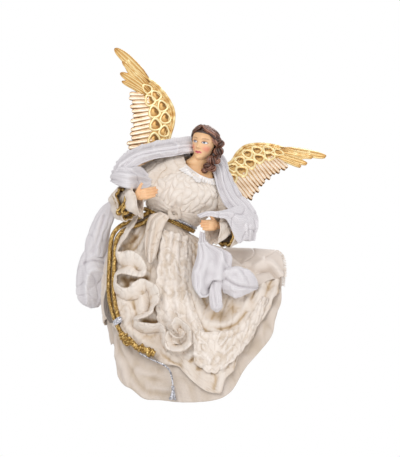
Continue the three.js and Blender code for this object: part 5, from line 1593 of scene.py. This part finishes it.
class ANGEL_OT_hair(bpy.types.Operator):
    """Lay the wavy painted curls over the head"""

    bl_idname = "angel.hair"
    bl_label = "Hair"

    def execute(self, context):
        rings = head_rings(1.0)
        x, y, z = np.moveaxis(rings, -1, 0)
        face = rise(2.5, -1.5, y) * rise(10.2, 8.0, z + 0.02 * x * x)
        rings = rings * (1 - 0.2 * np.maximum(face, rise(-7, -11, z)))[..., None]
        # the cap under the locks gets a low share: painted shade between the locks
        parts = [(*skin(rings), 0.1)]
        random = np.random.default_rng(11)
        for k in range(64):
            parts.append(self.lock(k, random))
        for x, y, z, size in CURLS:
            parts.extend(self.curl(np.array((x, y, z)), size, random))
        points, faces, relief = pile_relief(parts)
        piece = add_mesh("brown_hair", in_head(points), faces, finish(painted_hair), fold=relief)
        dress(piece, "painted_hair", "hair")
        return {"FINISHED"}

    def lock(self, k, random):
        """A wavy lock from the parting, over the temple and down behind the face."""
        left = k % 2 == 0
        share = (k + random.uniform(0, 1)) / 64
        at = np.linspace(0, 1, 44)
        begin = mix(0.15, 2.9, share)
        temple = mix(1.15, 3.0, share) if left else mix(1.3, 3.0, share)
        end = mix(1.75, 3.1, share) if left else mix(2.1, 3.1, share)
        angle = begin + (temple - begin) * rise(0, 0.42, at) + (end - temple) * rise(0.4, 0.75, at)
        height = mix(14.6, mix(-8, -13, random.uniform()), at**1.3)
        bulge = random.uniform(1.4, 2.8) if left else random.uniform(0.5, 1.3)
        near = np.sqrt(np.clip(1 - ((height + 0.5) / 15.6) ** 2, 0.05, 1))
        phase = random.uniform(0, TURN)
        loose = rise(0.1, 0.35, at)
        angle = angle + 0.13 * np.sin(14 * at + phase) * loose
        out = near + 0.07 * np.sin(14 * at + phase + 1.6) * loose
        wide, deep = (8.8 + bulge) * out, (10.2 + bulge) * out
        hand = 1 if left else -1
        path = np.stack([hand * wide * np.sin(angle), -deep * np.cos(angle), height], -1)
        path[:, 0] -= 1.6 * (1 - rise(0, 0.3, at))
        swell = 0.35 + 0.65 * np.sin(math.pi * np.clip(at * 0.85 + 0.14, 0, 1))
        return self.strand(path, random.uniform(1.15, 1.85) * swell, random)

    def curl(self, middle, size, random):
        """A ringlet: strands that wind together round a small ball of air."""
        at = np.linspace(0.08, 0.92, 22)
        lean = random.uniform(-0.6, 0.6)
        hand = random.choice([-1, 1])
        strands = []
        for k in range(6):
            high = np.cos(math.pi * at)
            wide = np.sin(math.pi * at)
            spin = TURN * k / 6 + hand * random.uniform(1.6, 2.4) * at + lean
            ball = np.stack([wide * np.cos(spin), wide * np.sin(spin), 1.1 * high], -1)
            path = middle + (size * random.uniform(0.66, 0.82)) * turned(ball, "y", lean)
            strands.append(self.strand(path, size * (0.16 + 0.2 * wide), random))
        return strands

    def strand(self, path, size, random):
        """One lock with fine grooves along it."""
        sides = 14
        groove = 1 + 0.17 * np.cos(4 * np.arange(sides) / sides * TURN + random.uniform(0, TURN))
        rings = rings_along(path, size[:, None] * groove[None], sides)
        # colour share: a random tone for each lock, with painted highlight on the ridges of its grooves and
        # painted shade in them
        light = random.uniform(0.1, 0.9) + 0.35 * np.repeat(groove[None] - 1, len(path), 0).ravel() / 0.17
        return (*skin(rings), light)


class ANGEL_OT_hands(bpy.types.Operator):
    """Shape the two hands from palms and fingers run together"""

    bl_idname = "angel.hands"
    bl_label = "Hands"

    def execute(self, context):
        for side, arm in ARMS.items():
            wrist, tip = np.array(arm["wrist"], float), np.array(arm["tip"], float)
            reach = np.linalg.norm(tip - wrist)
            points, faces = pile(self.limbs(reach))
            ahead = unit(tip - wrist)
            up = unit(np.array((0, 0, 1)) - ahead * ahead[2])
            place = np.stack([ahead, np.cross(up, ahead), up])
            rough = add_mesh("rough_hand", points @ place + wrist, faces, finish(painted_resin))
            remesh = rough.modifiers.new("run together", "REMESH")
            remesh.mode = "VOXEL"
            remesh.voxel_size = HAND_GRAIN * MM
            rough.modifiers.new("ease", "SMOOTH").iterations = 2
            mesh = bpy.data.meshes.new_from_object(rough.evaluated_get(context.evaluated_depsgraph_get()))
            bpy.data.objects.remove(rough)
            piece = bpy.data.objects.new(f"{side}_hand_cast", mesh)
            context.scene.collection.objects.link(piece)
            mesh.polygons.foreach_set("use_smooth", np.ones(len(mesh.polygons), bool))
            self.paint(mesh, wrist, ahead, reach)
            dress(piece, "painted_skin", f"{side}_hand", body=f"{side}_hand")
        return {"FINISHED"}

    def limbs(self, reach):
        """Wrist, palm, four fingers and thumb, along x with the thumb up."""
        at = np.linspace(0, 1, 16)
        swell = np.sin(math.pi * np.clip(0.12 + 0.8 * at, 0, 1)) ** 0.6
        wrist = np.stack([mix(-7, 4, at), 0 * at, 0 * at], -1)
        parts = [tube(wrist, (2.9 + 0.3 * at)[:, None], 16)]
        for place in (-2.9, -1.0, 1.0, 2.9):
            palm = np.stack([mix(0.2, 10.6, at), 0.3 * np.sin(3 * at), place * mix(0.6, 1, at)], -1)
            parts.append(tube(palm, (2.35 * swell)[:, None], 12))
        for place, short in ((-3.9, -3.0), (-1.3, -0.8), (1.3, 0.0), (3.9, -1.2)):
            end = reach + short - 1.2
            curve = np.stack([mix(8, end, at), -1.2 * at**2, place * mix(0.95, 0.86, at)], -1)
            joints = 1.24 - 0.08 * np.cos(3 * TURN * at) * at - 0.25 * at**2
            parts.append(tube(curve, joints[:, None], 12))
        thumb = np.stack([mix(2.0, 8.4, at), -0.9 - 0.6 * at, mix(2.4, 9.6, at**0.9)], -1)
        parts.append(tube(thumb, (1.75 - 0.65 * at)[:, None], 12))
        return parts

    def paint(self, mesh, wrist, ahead, reach):
        """Flesh paint, a little redder towards the finger tips and at the wrist."""
        places = np.empty(len(mesh.vertices) * 3, np.float32)
        mesh.vertices.foreach_get("co", places)
        along = ((places.reshape(-1, 3) / MM - wrist) @ ahead) / reach
        red = 0.35 * rise(0.6, 1.0, along) + 0.3 * rise(0.1, -0.05, along)
        colours = mix(np.array(linear("#eec091")), np.array(linear("#d08455")), red[:, None])
        layer = mesh.color_attributes.new("paint", "FLOAT_COLOR", "POINT")
        layer.data.foreach_set("color", colours.ravel())


class ANGEL_OT_bodice(bpy.types.Operator):
    """Sew the plaited bodice and the lace frill at its neck"""

    bl_idname = "angel.bodice"
    bl_label = "Bodice"

    def execute(self, context):
        gown = context.scene.angel_gown
        at = np.linspace(0, 0.97, 190)[:, None]
        turn = turns(GOWN_COLUMNS)[None, :]
        base = torso(at, turn, 1.0)
        column = PLAITS * turn / TURN + 0.3 * np.sin(5 * at) + 0.1 * lumps(base, 16, 22)
        aside = column % 1 - 0.5
        step = LEAVES * at + 1.0 * np.abs(aside) + 0.37 * np.floor(column) + 0.5 * (aside > 0)
        step = step + 0.12 * lumps(base, 11, 23)
        leaf = np.abs(np.sin(math.pi * step)) ** 0.6
        ridge = np.clip(1 - (np.abs(aside) / 0.25 - 1) ** 2, 0, 1) ** 0.5
        cover = rise(0, 0.1, at) * rise(1.02, 0.93, at)
        height = (0.35 + 1.3 * leaf * ridge) * cover
        grid = round_block(torso(at, turn, 0.9 + height + 0.5 * lumps(base, 9, 21)))
        middle = np.broadcast_to(spline(TORSO_CENTRES, at[:, 0])[:, None], grid.shape)
        linen = finish(crinkled_linen)
        # painted shade: the low parts between the plaits' leaves take the linen's tan
        fold = 2.2 * height - 0.7
        sheet = cloth("bodice_linen", grid, linen, gown.linen / MM, middle, around=True, fold=fold)
        sew(sheet, "cream_cloth", ["bodice"])
        self.frill()
        return {"FINISHED"}

    def frill(self):
        """A gathered lace edge that lies round the neck, with a stitched tuft in front."""
        across = rows_of(12)
        turn = turns(GOWN_COLUMNS)[None, :]
        wave = np.sin(46 * turn) + 0.5 * np.sin(31 * turn + 1)
        tuft = hill(turn - 1.5, 0.12) * across
        out = 2.0 + 1.4 * across + 0.6 * wave * across + 1.6 * tuft
        grid = torso(mix(1.03, 0.84, across) - 0.06 * tuft, turn, out)
        middle = np.array(TORSO_CENTRES[-1], float)
        sheet = cloth("neck_frill_lace", grid, white_lace(), FRILL_THICK, middle, around=True, reach=20)
        sew(sheet, "lace", ["neck_frill"])


class ANGEL_OT_sleeves(bpy.types.Operator):
    """Sew the wide sleeves with their braid, and the cuffs in them"""

    bl_idname = "angel.sleeves"
    bl_label = "Sleeves"

    def execute(self, context):
        gown = context.scene.angel_gown
        for side, arm in ARMS.items():
            fit = SLEEVES[side]
            wrist = np.array(arm["wrist"], float)
            elbow = np.array(arm["elbow"]) + (fit["ease"], 0, 0)
            path = evenly([*fit["yoke"], arm["shoulder"], elbow, wrist], 0.5)
            bend = np.linalg.norm(path - elbow, axis=1).argmin() / len(path) / SLEEVE_END
            self.sleeve(side, path, bend, fit["cap"], gown.linen / MM)
            beyond = wrist + fit["cover"] * (np.array(arm["tip"]) - wrist)
            line = [elbow, mix(elbow, wrist, 0.5), mix(elbow, wrist, 0.85), wrist, beyond]
            self.cuff(side, evenly(line, 0.5), fit["hang"], gown.linen / MM)
        bunch = [plies(evenly(line, 0.4), *BUNCH_TWIST) for line in GOLD_BUNCH]
        trim(add_mesh("sleeve_gold_bunch", *pile(bunch), gold_thread()), "gold_thread")
        return {"FINISHED"}

    def bell(self, path, begin, end, size, droop, back, count, sides):
        """Rings that widen along a part of the arm, hang lower towards the rim and lie back on top."""
        share = np.linspace(begin, end, count) * (len(path) - 1)
        line = np.stack([np.interp(share, np.arange(len(path)), path[:, i]) for i in range(3)], -1)
        at = rows_of(count)
        spokes = rings_along(line, 1.0, sides) - line[:, None]
        grid = line[:, None] + spokes * size(at, turns(sides))[..., None]
        grid[..., 2] -= droop * at**2 * rise(0.4, -1, spokes[..., 2])
        lie = back * at**3 * rise(-0.2, 0.8, spokes[..., 2])
        return line, grid - lie[..., None] * unit(line[-1] - line[-3])

    def sleeve(self, side, path, bend, fullness, thick):
        """A bell of linen, full at the shoulder, that widens to a wavy rim edged with braid inside."""

        def size(at, angle):
            wave = 1.2 * np.sin(4 * angle) + 0.7 * np.sin(9 * angle + 4 * at)
            cap = fullness * rise(bend, bend - 0.4, at)
            gathered = mix(0.7, 1, rise(0, 0.14, at))
            return (7.6 + cap) * gathered + 5.2 * rise(bend - 0.02, 1.06, at) + at * wave

        line, grid = self.bell(path, 0.0, SLEEVE_END, size, 6.0, 0.0, 100, 150)
        creases = 0.7 * crinkle(grid, 13, 31) + 0.4 * crinkle(grid, 6, 33)
        grid = grid + creases[..., None] * facing(grid, line[:, None], True)
        linen, arm = finish(crinkled_linen), f"{side}_arm_padding"
        sheet = cloth(f"{side}_sleeve_linen", grid, linen, thick, line[:, None], around=True, reach=30)
        sew(sheet, "cream_cloth", [f"{side}_sleeve"])
        middle = grid[-3].mean(0)
        rim = evenly(middle + (grid[-3] - middle) * 0.9, 0.45, closed=True)
        ahead = np.broadcast_to(unit(line[-1] - line[-3]), rim.shape)
        points, faces = plait(rim, unit(rim - middle), ahead, *SLEEVE_PLAIT)
        braid = add_mesh(f"{side}_sleeve_gold", points, faces, gold_thread())
        dress(braid, "gold_thread", f"{side}_sleeve_braid")

    def cuff(self, side, path, droop, thick):
        """The inner cuff: petals of linen that hang open below the wrist."""

        def size(at, angle):
            petals = 1.4 * np.sin(3 * angle) + 0.8 * np.sin(7 * angle + 5 * at)
            return mix(6.4, 8.8, at**1.2) + at * petals

        line, grid = self.bell(path, 0.2, 1.0, size, droop, 4.0, 50, 110)
        grid = grid + 0.5 * crinkle(grid, 8, 32)[..., None] * facing(grid, line[:, None], True)
        linen, arm = finish(crinkled_linen), f"{side}_arm_padding"
        sheet = cloth(f"{side}_cuff_linen", grid, linen, thick, line[:, None], around=True, reach=20)
        sew(sheet, "lace", [f"{side}_cuff"])


class ANGEL_OT_skirts(bpy.types.Operator):
    """Sew the linen overskirt, the sheer underskirt and the satin train"""

    bl_idname = "angel.skirts"
    bl_label = "Skirts"

    def execute(self, context):
        gown = context.scene.angel_gown
        turn = turns(GOWN_COLUMNS)[None, :]
        share = rows_of(150)
        edge = 0.006 * np.sin(26 * turn) + 0.004 * np.sin(41 * turn + 1)
        at = mix(-0.06, self.hem(turn) + edge, share)
        base = skirt_base(at, turn)
        pleats = np.sin(26 * turn + 3 * np.sin(3 * turn)) * rise(0, 0.1, at) * mix(1.0, 0.4, at)
        crumple = gown.crumple / MM
        small = crumple * (0.7 * crinkle(base * (1, 1, 0.5), 15, 41) + 0.5 * crinkle(base, 7, 44))
        folds = 0.55 * drawn_folds(base, SKIRT_FOLDS)
        height = 0.4 + 0.6 * pleats + small * rise(0, 0.2, at) + folds
        grid = skirt(at, turn, np.maximum(height, -2.0))
        middle = base.mean(1, keepdims=True)
        # painted shade: the deep drawn folds darken further than their depth alone
        fold = crease_depth(grid, middle, True, 44) + 0.7 * np.minimum(folds, 0)
        linen = finish(crinkled_linen)
        sheet = cloth("overskirt_linen", grid, linen, gown.linen / MM, middle, around=True, fold=fold)
        sew(sheet, "cream_cloth", ["overskirt"])
        self.underskirt(gown, turn)
        self.train(gown)
        return {"FINISHED"}

    def hem(self, turn):
        """How far down the overskirt reaches at each turn; its hem is caught up in front."""
        at, where = skirt_at(*np.array(OVERSKIRT_HEM).T)
        return np.interp(turn, [0, *where, math.pi, TURN], [0.88, *at, 0.9, 0.88])

    def underskirt(self, gown, turn):
        """The longer sheer skirt with a crinkled, gathered hem."""
        at = np.linspace(0.02, 1.0, 130)[:, None]
        base = skirt_base(at, turn)
        gathers = np.sin(33 * turn + 5 * np.sin(2 * turn)) * rise(0.7, 1.0, at)
        edge = 0.006 * np.sin(13 * turn + 2 * np.cos(5 * turn)) + 0.045 * hill(turn - 1.6, 0.14) - 0.008
        crumple = gown.crumple / MM
        fine = 0.3 * lumps(base * (1, 1, 0.5), 8, 43)
        small = crumple * (fine + 0.6 * crinkle(base * (1, 1, 0.6), 22, 46))
        folds = 0.8 * drawn_folds(base, UNDERSKIRT_FOLDS)
        grid = skirt(at + edge * rise(0.8, 1.0, at), turn, -SKIRT_INSET + 0.6 * gathers + small + folds)
        middle = base.mean(1, keepdims=True)
        sheet = cloth("underskirt_chiffon", grid, finish(silk_chiffon), CHIFFON_THICK, middle, around=True)
        sew(sheet, "sheer_cloth", ["underskirt"])

    def train(self, gown):
        """A smooth satin panel over the swung side, with a rounded corner edged with looped yarn."""
        share = rows_of(80)
        begin = np.radians(134 + 16 * share**2 + 3 * np.sin(9 * share))
        turn = mix(begin, math.radians(216), columns_of(110))
        corner = 0.07 * hill(turn - math.radians(180), 0.2)
        at = mix(0.5, 1.0 - corner, share)
        base = skirt_base(at, turn)
        swell = 1.4 * np.sin(5 * turn + 7 * at) * rise(0.5, 0.8, at) + 0.4 * crinkle(base, 20, 45)
        grid = skirt(at, turn, 2.4 + swell + drawn_folds(base, TRAIN_FOLDS))
        middle = base.mean((0, 1)) + (-40, 0, -30)
        sheet = cloth("train_satin", grid, finish(duchess_satin), gown.linen / MM, middle, reach=30)
        sew(sheet, "cream_cloth", ["train"])
        hem = evenly(grid[-1], 0.4)
        inward = unit(grid[-4].mean(0) - grid[-1].mean(0))
        gone = travel(hem)[:, None]
        swing = np.sin(TURN * gone / 4.6)
        loops = hem - inward * (1.3 * (1 - np.cos(TURN * gone / 2.3))) + 0.8 * swing * (0, -1, 0)
        trim(add_mesh("train_picot", *tube(loops, PICOT_YARN), cream_lace()), "lace")


class ANGEL_OT_trimming(bpy.types.Operator):
    """Sew the lace, the cascade and rose ruffles and the lace hem on the skirt"""

    bl_idname = "angel.trimming"
    bl_label = "Lace and Ruffles"

    def execute(self, context):
        gown = context.scene.angel_gown
        self.lace("lace_panel_net", ["lace_panel"], LACE_RIGHT, LACE_LEFT, 22)
        self.lace("lace_hem_net", [], LACE_HEM_EDGE, LACE_HEM_TOP, 9)
        stand = gown.ruffle_stand / MM
        self.ruffle("cascade_ruffle", CASCADE_ROOT, CASCADE_EDGE, 640, stand, gown)
        self.ruffle("rose_ruffle", ROSE_ROOT, ROSE_EDGE, 260, stand + 0.7, gown)
        return {"FINISHED"}

    def lace(self, name, nodes, edge, other, folds):
        """Lace laid over the skirt in soft folds, with a scalloped edge."""
        at = rows_of(150)
        share = columns_of(60)
        near, far = spline(edge, at[:, 0]), spline(other, at[:, 0])
        outward = unit(near - far)[:, None]
        scallop = 1.3 * np.abs(np.sin(34 * at)) * (1 - share) ** 3
        places = mix(near[:, None], far[:, None], share[..., None]) + outward * scallop[..., None]
        wave = 0.9 * np.sin(folds * share + 3 * at) + 0.4 * np.sin(1.6 * folds * at + 3 * share)
        base = on_skirt(places, 0.0)
        under = 0.62 * drawn_folds(base, SKIRT_FOLDS)
        grid = on_skirt(places, 2.2 + wave + under + 0.6 * crinkle(base, 9, 52))
        behind = grid.mean((0, 1)) + (0, 60, 0)
        sheet = cloth(name, grid, cream_lace(), LACE_THICK, behind, reach=30)
        sew(sheet, "lace", nodes)

    def ruffle(self, node, roots, edges, rows, stand, gown):
        """A strip sewn down along its root, whose free edge stands out, meanders and rolls over."""
        at = np.linspace(0, 1, rows)
        share = columns_of(18)
        places = mix(spline(roots, at)[:, None], spline(edges, at)[:, None], share[..., None])
        sewn = 1.3  # the root's height over the skirt
        lift = sewn + (stand - sewn) * share**0.8 - 0.5 * rise(0.85, 1.0, share)
        grid = on_skirt(places, lift + 1.1 * np.sin(0.12 * rows * at)[:, None] * share)
        gathers = np.sin(0.23 * rows * at + 3 * np.sin(11 * at))[:, None]
        creases = 0.9 * crinkle(grid, 8, 51) + 0.6 * gathers
        grid = grid + (creases * share)[..., None] * unit(np.array((-0.3, -1, 0.2)))
        # painted shade: darker towards the root, where the strip meets the skirt, and in its creases;
        # lighter at the standing edge
        fold = np.broadcast_to(mix(-0.6, 2.2, rise(0.0, 0.9, share)), grid.shape[:2]) + 0.8 * creases
        linen = finish(crinkled_linen)
        sheet = cloth(f"{node}_linen", grid, linen, gown.linen / MM + 0.2, (0, 60, -90), fold=fold)
        sew(sheet, "cream_cloth", [node])
        trim(add_mesh(f"{node}_hem", *tube(grid[:, -1], HEM_ROLL, 8), linen), "cream_cloth")


class ANGEL_OT_waist(bpy.types.Operator):
    """Tie the gold braid and the gathered sash round the waist"""

    bl_idname = "angel.waist"
    bl_label = "Belt and Sash"

    def execute(self, context):
        turn = np.linspace(0, TURN, 400)
        belt = torso(BELT_LEVEL / TORSO_LENGTH, turn, BELT_OUT)
        out = unit(belt - belt[:-1].mean(0))
        high = np.broadcast_to(TORSO_UP, belt.shape)
        points, faces = plait(belt, out, high, *BELT_PLAIT)
        dress(add_mesh("belt_gold", points, faces, gold_thread()), "gold_thread", "belt_braid")
        strip = torso(SILVER_LEVEL / TORSO_LENGTH, np.linspace(-0.6, 1.35, 200), SILVER_OUT)
        trim(add_mesh("belt_silver", *plies(strip, *SILVER_TWIST), silver_thread()), "silver_thread")
        gown = context.scene.angel_gown
        self.sash(gown)
        self.tail(gown)
        self.knot()
        return {"FINISHED"}

    def sash(self, gown):
        """Gathered linen wound round the waist, its folds drawn together at the knot."""
        across = rows_of(60)
        turn = turns(360)[None, :]
        pinch = hill(np.angle(np.exp(1j * (turn - 1.5))), 0.55)
        spread = mix(1.0, 0.4, pinch)
        wander = 0.5 * np.sin(2 * turn + 0.6) + 0.2 * np.sin(5 * turn)
        folds = np.abs(np.sin(math.pi * (2.6 * across + wander))) ** 0.7
        level = SASH_LEVEL + (mix(-4.0, 5.5, across) + 1.2) * spread
        out = 2.3 + (0.7 * folds + 1.5 * np.sin(math.pi * across)) * mix(0.75, 1.3, pinch)
        grid = torso(level / TORSO_LENGTH, turn, out)
        grid = round_block(torso(level / TORSO_LENGTH, turn, out + 0.25 * crinkle(grid, 7, 24)))
        middle = np.array(TORSO_CENTRES[0], float)
        # painted shade: the valleys between the sash's folds take the linen's tan
        linen, tone = finish(crinkled_linen), 1.1 * folds
        sheet = cloth("waist_sash_linen", grid, linen, gown.linen / MM, middle, around=True, fold=tone)
        sew(sheet, "cream_cloth", ["waist_sash"])

    def tail(self, gown):
        """The sash's short end, which falls from the knot over the belt."""
        grid = drape(SASH_TAIL, 70, 60)
        across = columns_of(60)
        along = rows_of(70)
        folds = np.sin(TURN * 2.4 * across + 1.5 * along) * rise(-0.2, 0.6, along)
        grid = grid + (1.3 * folds + 0.6 * crinkle(grid, 9, 25))[..., None] * (0, -1, 0)
        linen = finish(crinkled_linen)
        behind = grid.mean((0, 1)) + (0, 60, 0)
        sheet = cloth("sash_tail_linen", grid, linen, gown.linen / MM, behind, reach=24)
        sew(sheet, "cream_cloth", [])

    def knot(self):
        """The tied knot of the sash: three soft folds over each other."""
        middle = torso(SASH_LEVEL / TORSO_LENGTH, math.radians(86), 5.6)
        angle = np.linspace(0, TURN, 60)
        parts = []
        for k in range(3):
            ring = np.stack([4.6 * np.cos(angle), -1.8 * np.sin(2 * angle), 3.0 * np.sin(angle)], -1)
            ring = turned(ring, "y", -0.5 + 0.55 * k) + middle + (0, -0.3 * k, 0)
            parts.append(tube(ring, (1.7 + 0.3 * np.sin(3 * angle + k))[:, None], 12))
        piece = add_mesh("sash_knot_linen", *pile(parts), finish(crinkled_linen))
        dress(piece, "cream_cloth", "sash_knot")


class ANGEL_OT_shawl(bpy.types.Operator):
    """Drape the gauze shawl over both arms, behind the neck and down in two tails"""

    bl_idname = "angel.shawl"
    bl_label = "Shawl"

    def execute(self, context):
        gauze = context.scene.angel_gown.gauze / MM
        sheets = [
            ("shawl_right_band", "shawl_right", SHAWL_RIGHT_BAND, 5, ["right_sleeve", "bodice"]),
            ("shawl_right_flap", "shawl_right", SHAWL_RIGHT_FLAP, 2, ["right_sleeve"]),
            ("shawl_left_band", "shawl_left", SHAWL_LEFT_BAND, 5, ["left_sleeve", "bodice"]),
            ("shawl_left_flap", "shawl_left", SHAWL_LEFT_FLAP, 2, ["left_sleeve"]),
            ("shawl_tail_left_drape", "shawl_tail_left", TAIL_LEFT_DRAPE, 3, ["left_hand"]),
        ]
        for name, node, curves, folds, rests in sheets:
            self.sheet(name, node, drape(curves, 110, 90), folds, rests, gauze)
        for name, (node, path, halves, depths, creases) in PUFFS.items():
            self.puff(name, node, path, halves, depths, creases, gauze)
        self.back(gauze)
        return {"FINISHED"}

    def sheet(self, name, node, grid, folds, rests, gauze):
        """An open piece of gauze with soft folds along it and small creases."""
        along = rows_of(grid.shape[0])
        across = columns_of(grid.shape[1])
        wave = np.sin(TURN * folds * across + 1.6 * np.sin(3.4 * along) + 1.3)
        wave = wave + 0.5 * np.sin(TURN * 1.7 * folds * across - 2.2 * along)
        small = crinkle(grid * (0.7, 1, 0.7), 21, 62)
        height = (0.8 * wave + 0.75 * small) * rise(-0.05, 0.15, across) * rise(1.05, 0.9, across)
        grid = grid + height[..., None] * normals_of(grid)
        inside = grid.mean((0, 1)) + (0, 60, -10)
        sheet = cloth(f"{name}_gauze", grid, finish(cotton_gauze), gauze, inside, reach=34)
        sew(sheet, "white_gauze", [node])

    def puff(self, name, node, path, halves, depths, creases, gauze):
        """A hanging puff of gauze with soft folds along it and creases over its front."""
        at = np.linspace(0, 1, 80)
        middle = spline(path, at)
        ahead = unit(np.gradient(middle, axis=0))
        side = unit(np.cross(ahead, (0, -1, 0)))
        turn = turns(130)
        half = spline(np.array(halves, float)[:, None], at)
        deep = spline(np.array(depths, float)[:, None], at)
        spokes = side[:, None] * (half * np.cos(turn))[..., None]
        spokes[..., 1] -= deep * np.sin(turn)
        sway = 1.2 * np.sin(4 * at)[:, None]
        folds = np.sin(5 * turn + sway) + 0.5 * np.sin(9 * turn - 2 * sway)
        grow = 1 + 0.05 * folds + 0.05 * crinkle(middle[:, None] + spokes, 13, 72)
        grid = middle[:, None] + spokes * grow[..., None]
        grid[..., 1] -= fold_height(grid[..., [0, 2]], creases) * rise(0.0, 0.5, np.sin(turn))
        inside = middle[:, None]
        sheet = cloth(f"{name}_gauze", grid, finish(cotton_gauze), gauze, inside, around=True, reach=24)
        sew(sheet, "white_gauze", [node])

    def back(self, gauze):
        """The part of the shawl behind the neck."""
        at = np.linspace(0, 1, 70)
        top = spline([(-13, -11, 12), (0, -9, 8), (14, -11, 3)], at)[:, None]
        share = columns_of(40)
        grid = np.repeat(top, 40, 1)
        grid[..., 1] += 2 * share + 0.7 * np.sin(4 * math.pi * share + 3 * at[:, None])
        grid[..., 2] -= 13 * share
        sheet = cloth("shawl_back_gauze", grid, finish(cotton_gauze), gauze, (0, -60, 5), reach=20)
        sew(sheet, "white_gauze", ["shawl_back"])


class ANGEL_OT_filling(bpy.types.Operator):
    """Stuff the torso, the arms and the skirt"""

    bl_idname = "angel.filling"
    bl_label = "Filling"

    def execute(self, context):
        turn = turns(72)[None, :]
        core = torso(np.linspace(0, 0.86, 40)[:, None], turn, -1.6)
        self.stuff("torso_core", core, 81)
        wadding = skirt(np.linspace(0.06, 0.6, 40)[:, None], turn, -6.4)
        self.stuff("skirt_wadding", wadding, 82)
        for side, arm in ARMS.items():
            path = evenly([arm["shoulder"], arm["elbow"], arm["wrist"]], 1.0)[:-4]
            size = np.linspace(4.4, 2.9, len(path))[:, None]
            self.stuff(f"{side}_arm_padding", rings_along(path, size, 24), 83)
        return {"FINISHED"}

    def stuff(self, node, rings, seed):
        """A soft lump of filling inside its cover."""
        middle = rings.mean(1, keepdims=True)
        size = 1 - 0.03 * (1 + lumps(rings, 12, seed))
        soft = middle + (rings - middle) * size[..., None]
        piece = add_mesh(f"{node}_fill", *skin(soft), finish(polyester_fill))
        dress(piece, "stuffing", node)


class ANGEL_PT_panel(bpy.types.Panel):
    """The list of the ornament's pieces"""

    bl_idname = "ANGEL_PT_panel"
    bl_label = "Hanging Angel"
    bl_space_type = "VIEW_3D"
    bl_region_type = "UI"
    bl_category = "Angel"

    def draw(self, context):
        layout = self.layout
        for settings in (context.scene.angel_gown, context.scene.angel_trim, context.scene.angel_stage):
            for name in settings.__annotations__:
                layout.prop(settings, name)
        for operator in OPERATORS:
            layout.operator(operator.bl_idname)


OPERATORS = (
    ANGEL_OT_stage,
    ANGEL_OT_cords,
    ANGEL_OT_hanger,
    ANGEL_OT_wings,
    ANGEL_OT_head,
    ANGEL_OT_hair,
    ANGEL_OT_hands,
    ANGEL_OT_bodice,
    ANGEL_OT_sleeves,
    ANGEL_OT_skirts,
    ANGEL_OT_trimming,
    ANGEL_OT_waist,
    ANGEL_OT_shawl,
    ANGEL_OT_filling,
)
CLASSES = (AngelGown, AngelTrim, AngelStage, *OPERATORS, ANGEL_PT_panel)


def register():
    """Makes the settings, operators and panel known to Blender."""
    for kind in CLASSES:
        bpy.utils.register_class(kind)
    bpy.types.Scene.angel_gown = bpy.props.PointerProperty(type=AngelGown)
    bpy.types.Scene.angel_trim = bpy.props.PointerProperty(type=AngelTrim)
    bpy.types.Scene.angel_stage = bpy.props.PointerProperty(type=AngelStage)


def unregister():
    """Takes them away again."""
    del bpy.types.Scene.angel_gown
    del bpy.types.Scene.angel_trim
    del bpy.types.Scene.angel_stage
    for kind in reversed(CLASSES):
        bpy.utils.unregister_class(kind)


def main():
    """Builds every piece in order."""
    register()
    bpy.ops.angel.stage()
    bpy.ops.angel.cords()
    bpy.ops.angel.hanger()
    bpy.ops.angel.wings()
    bpy.ops.angel.head()
    bpy.ops.angel.hair()
    bpy.ops.angel.hands()
    bpy.ops.angel.bodice()
    bpy.ops.angel.sleeves()
    bpy.ops.angel.skirts()
    bpy.ops.angel.trimming()
    bpy.ops.angel.waist()
    bpy.ops.angel.shawl()
    bpy.ops.angel.filling()


if __name__ == "__main__":
    main()
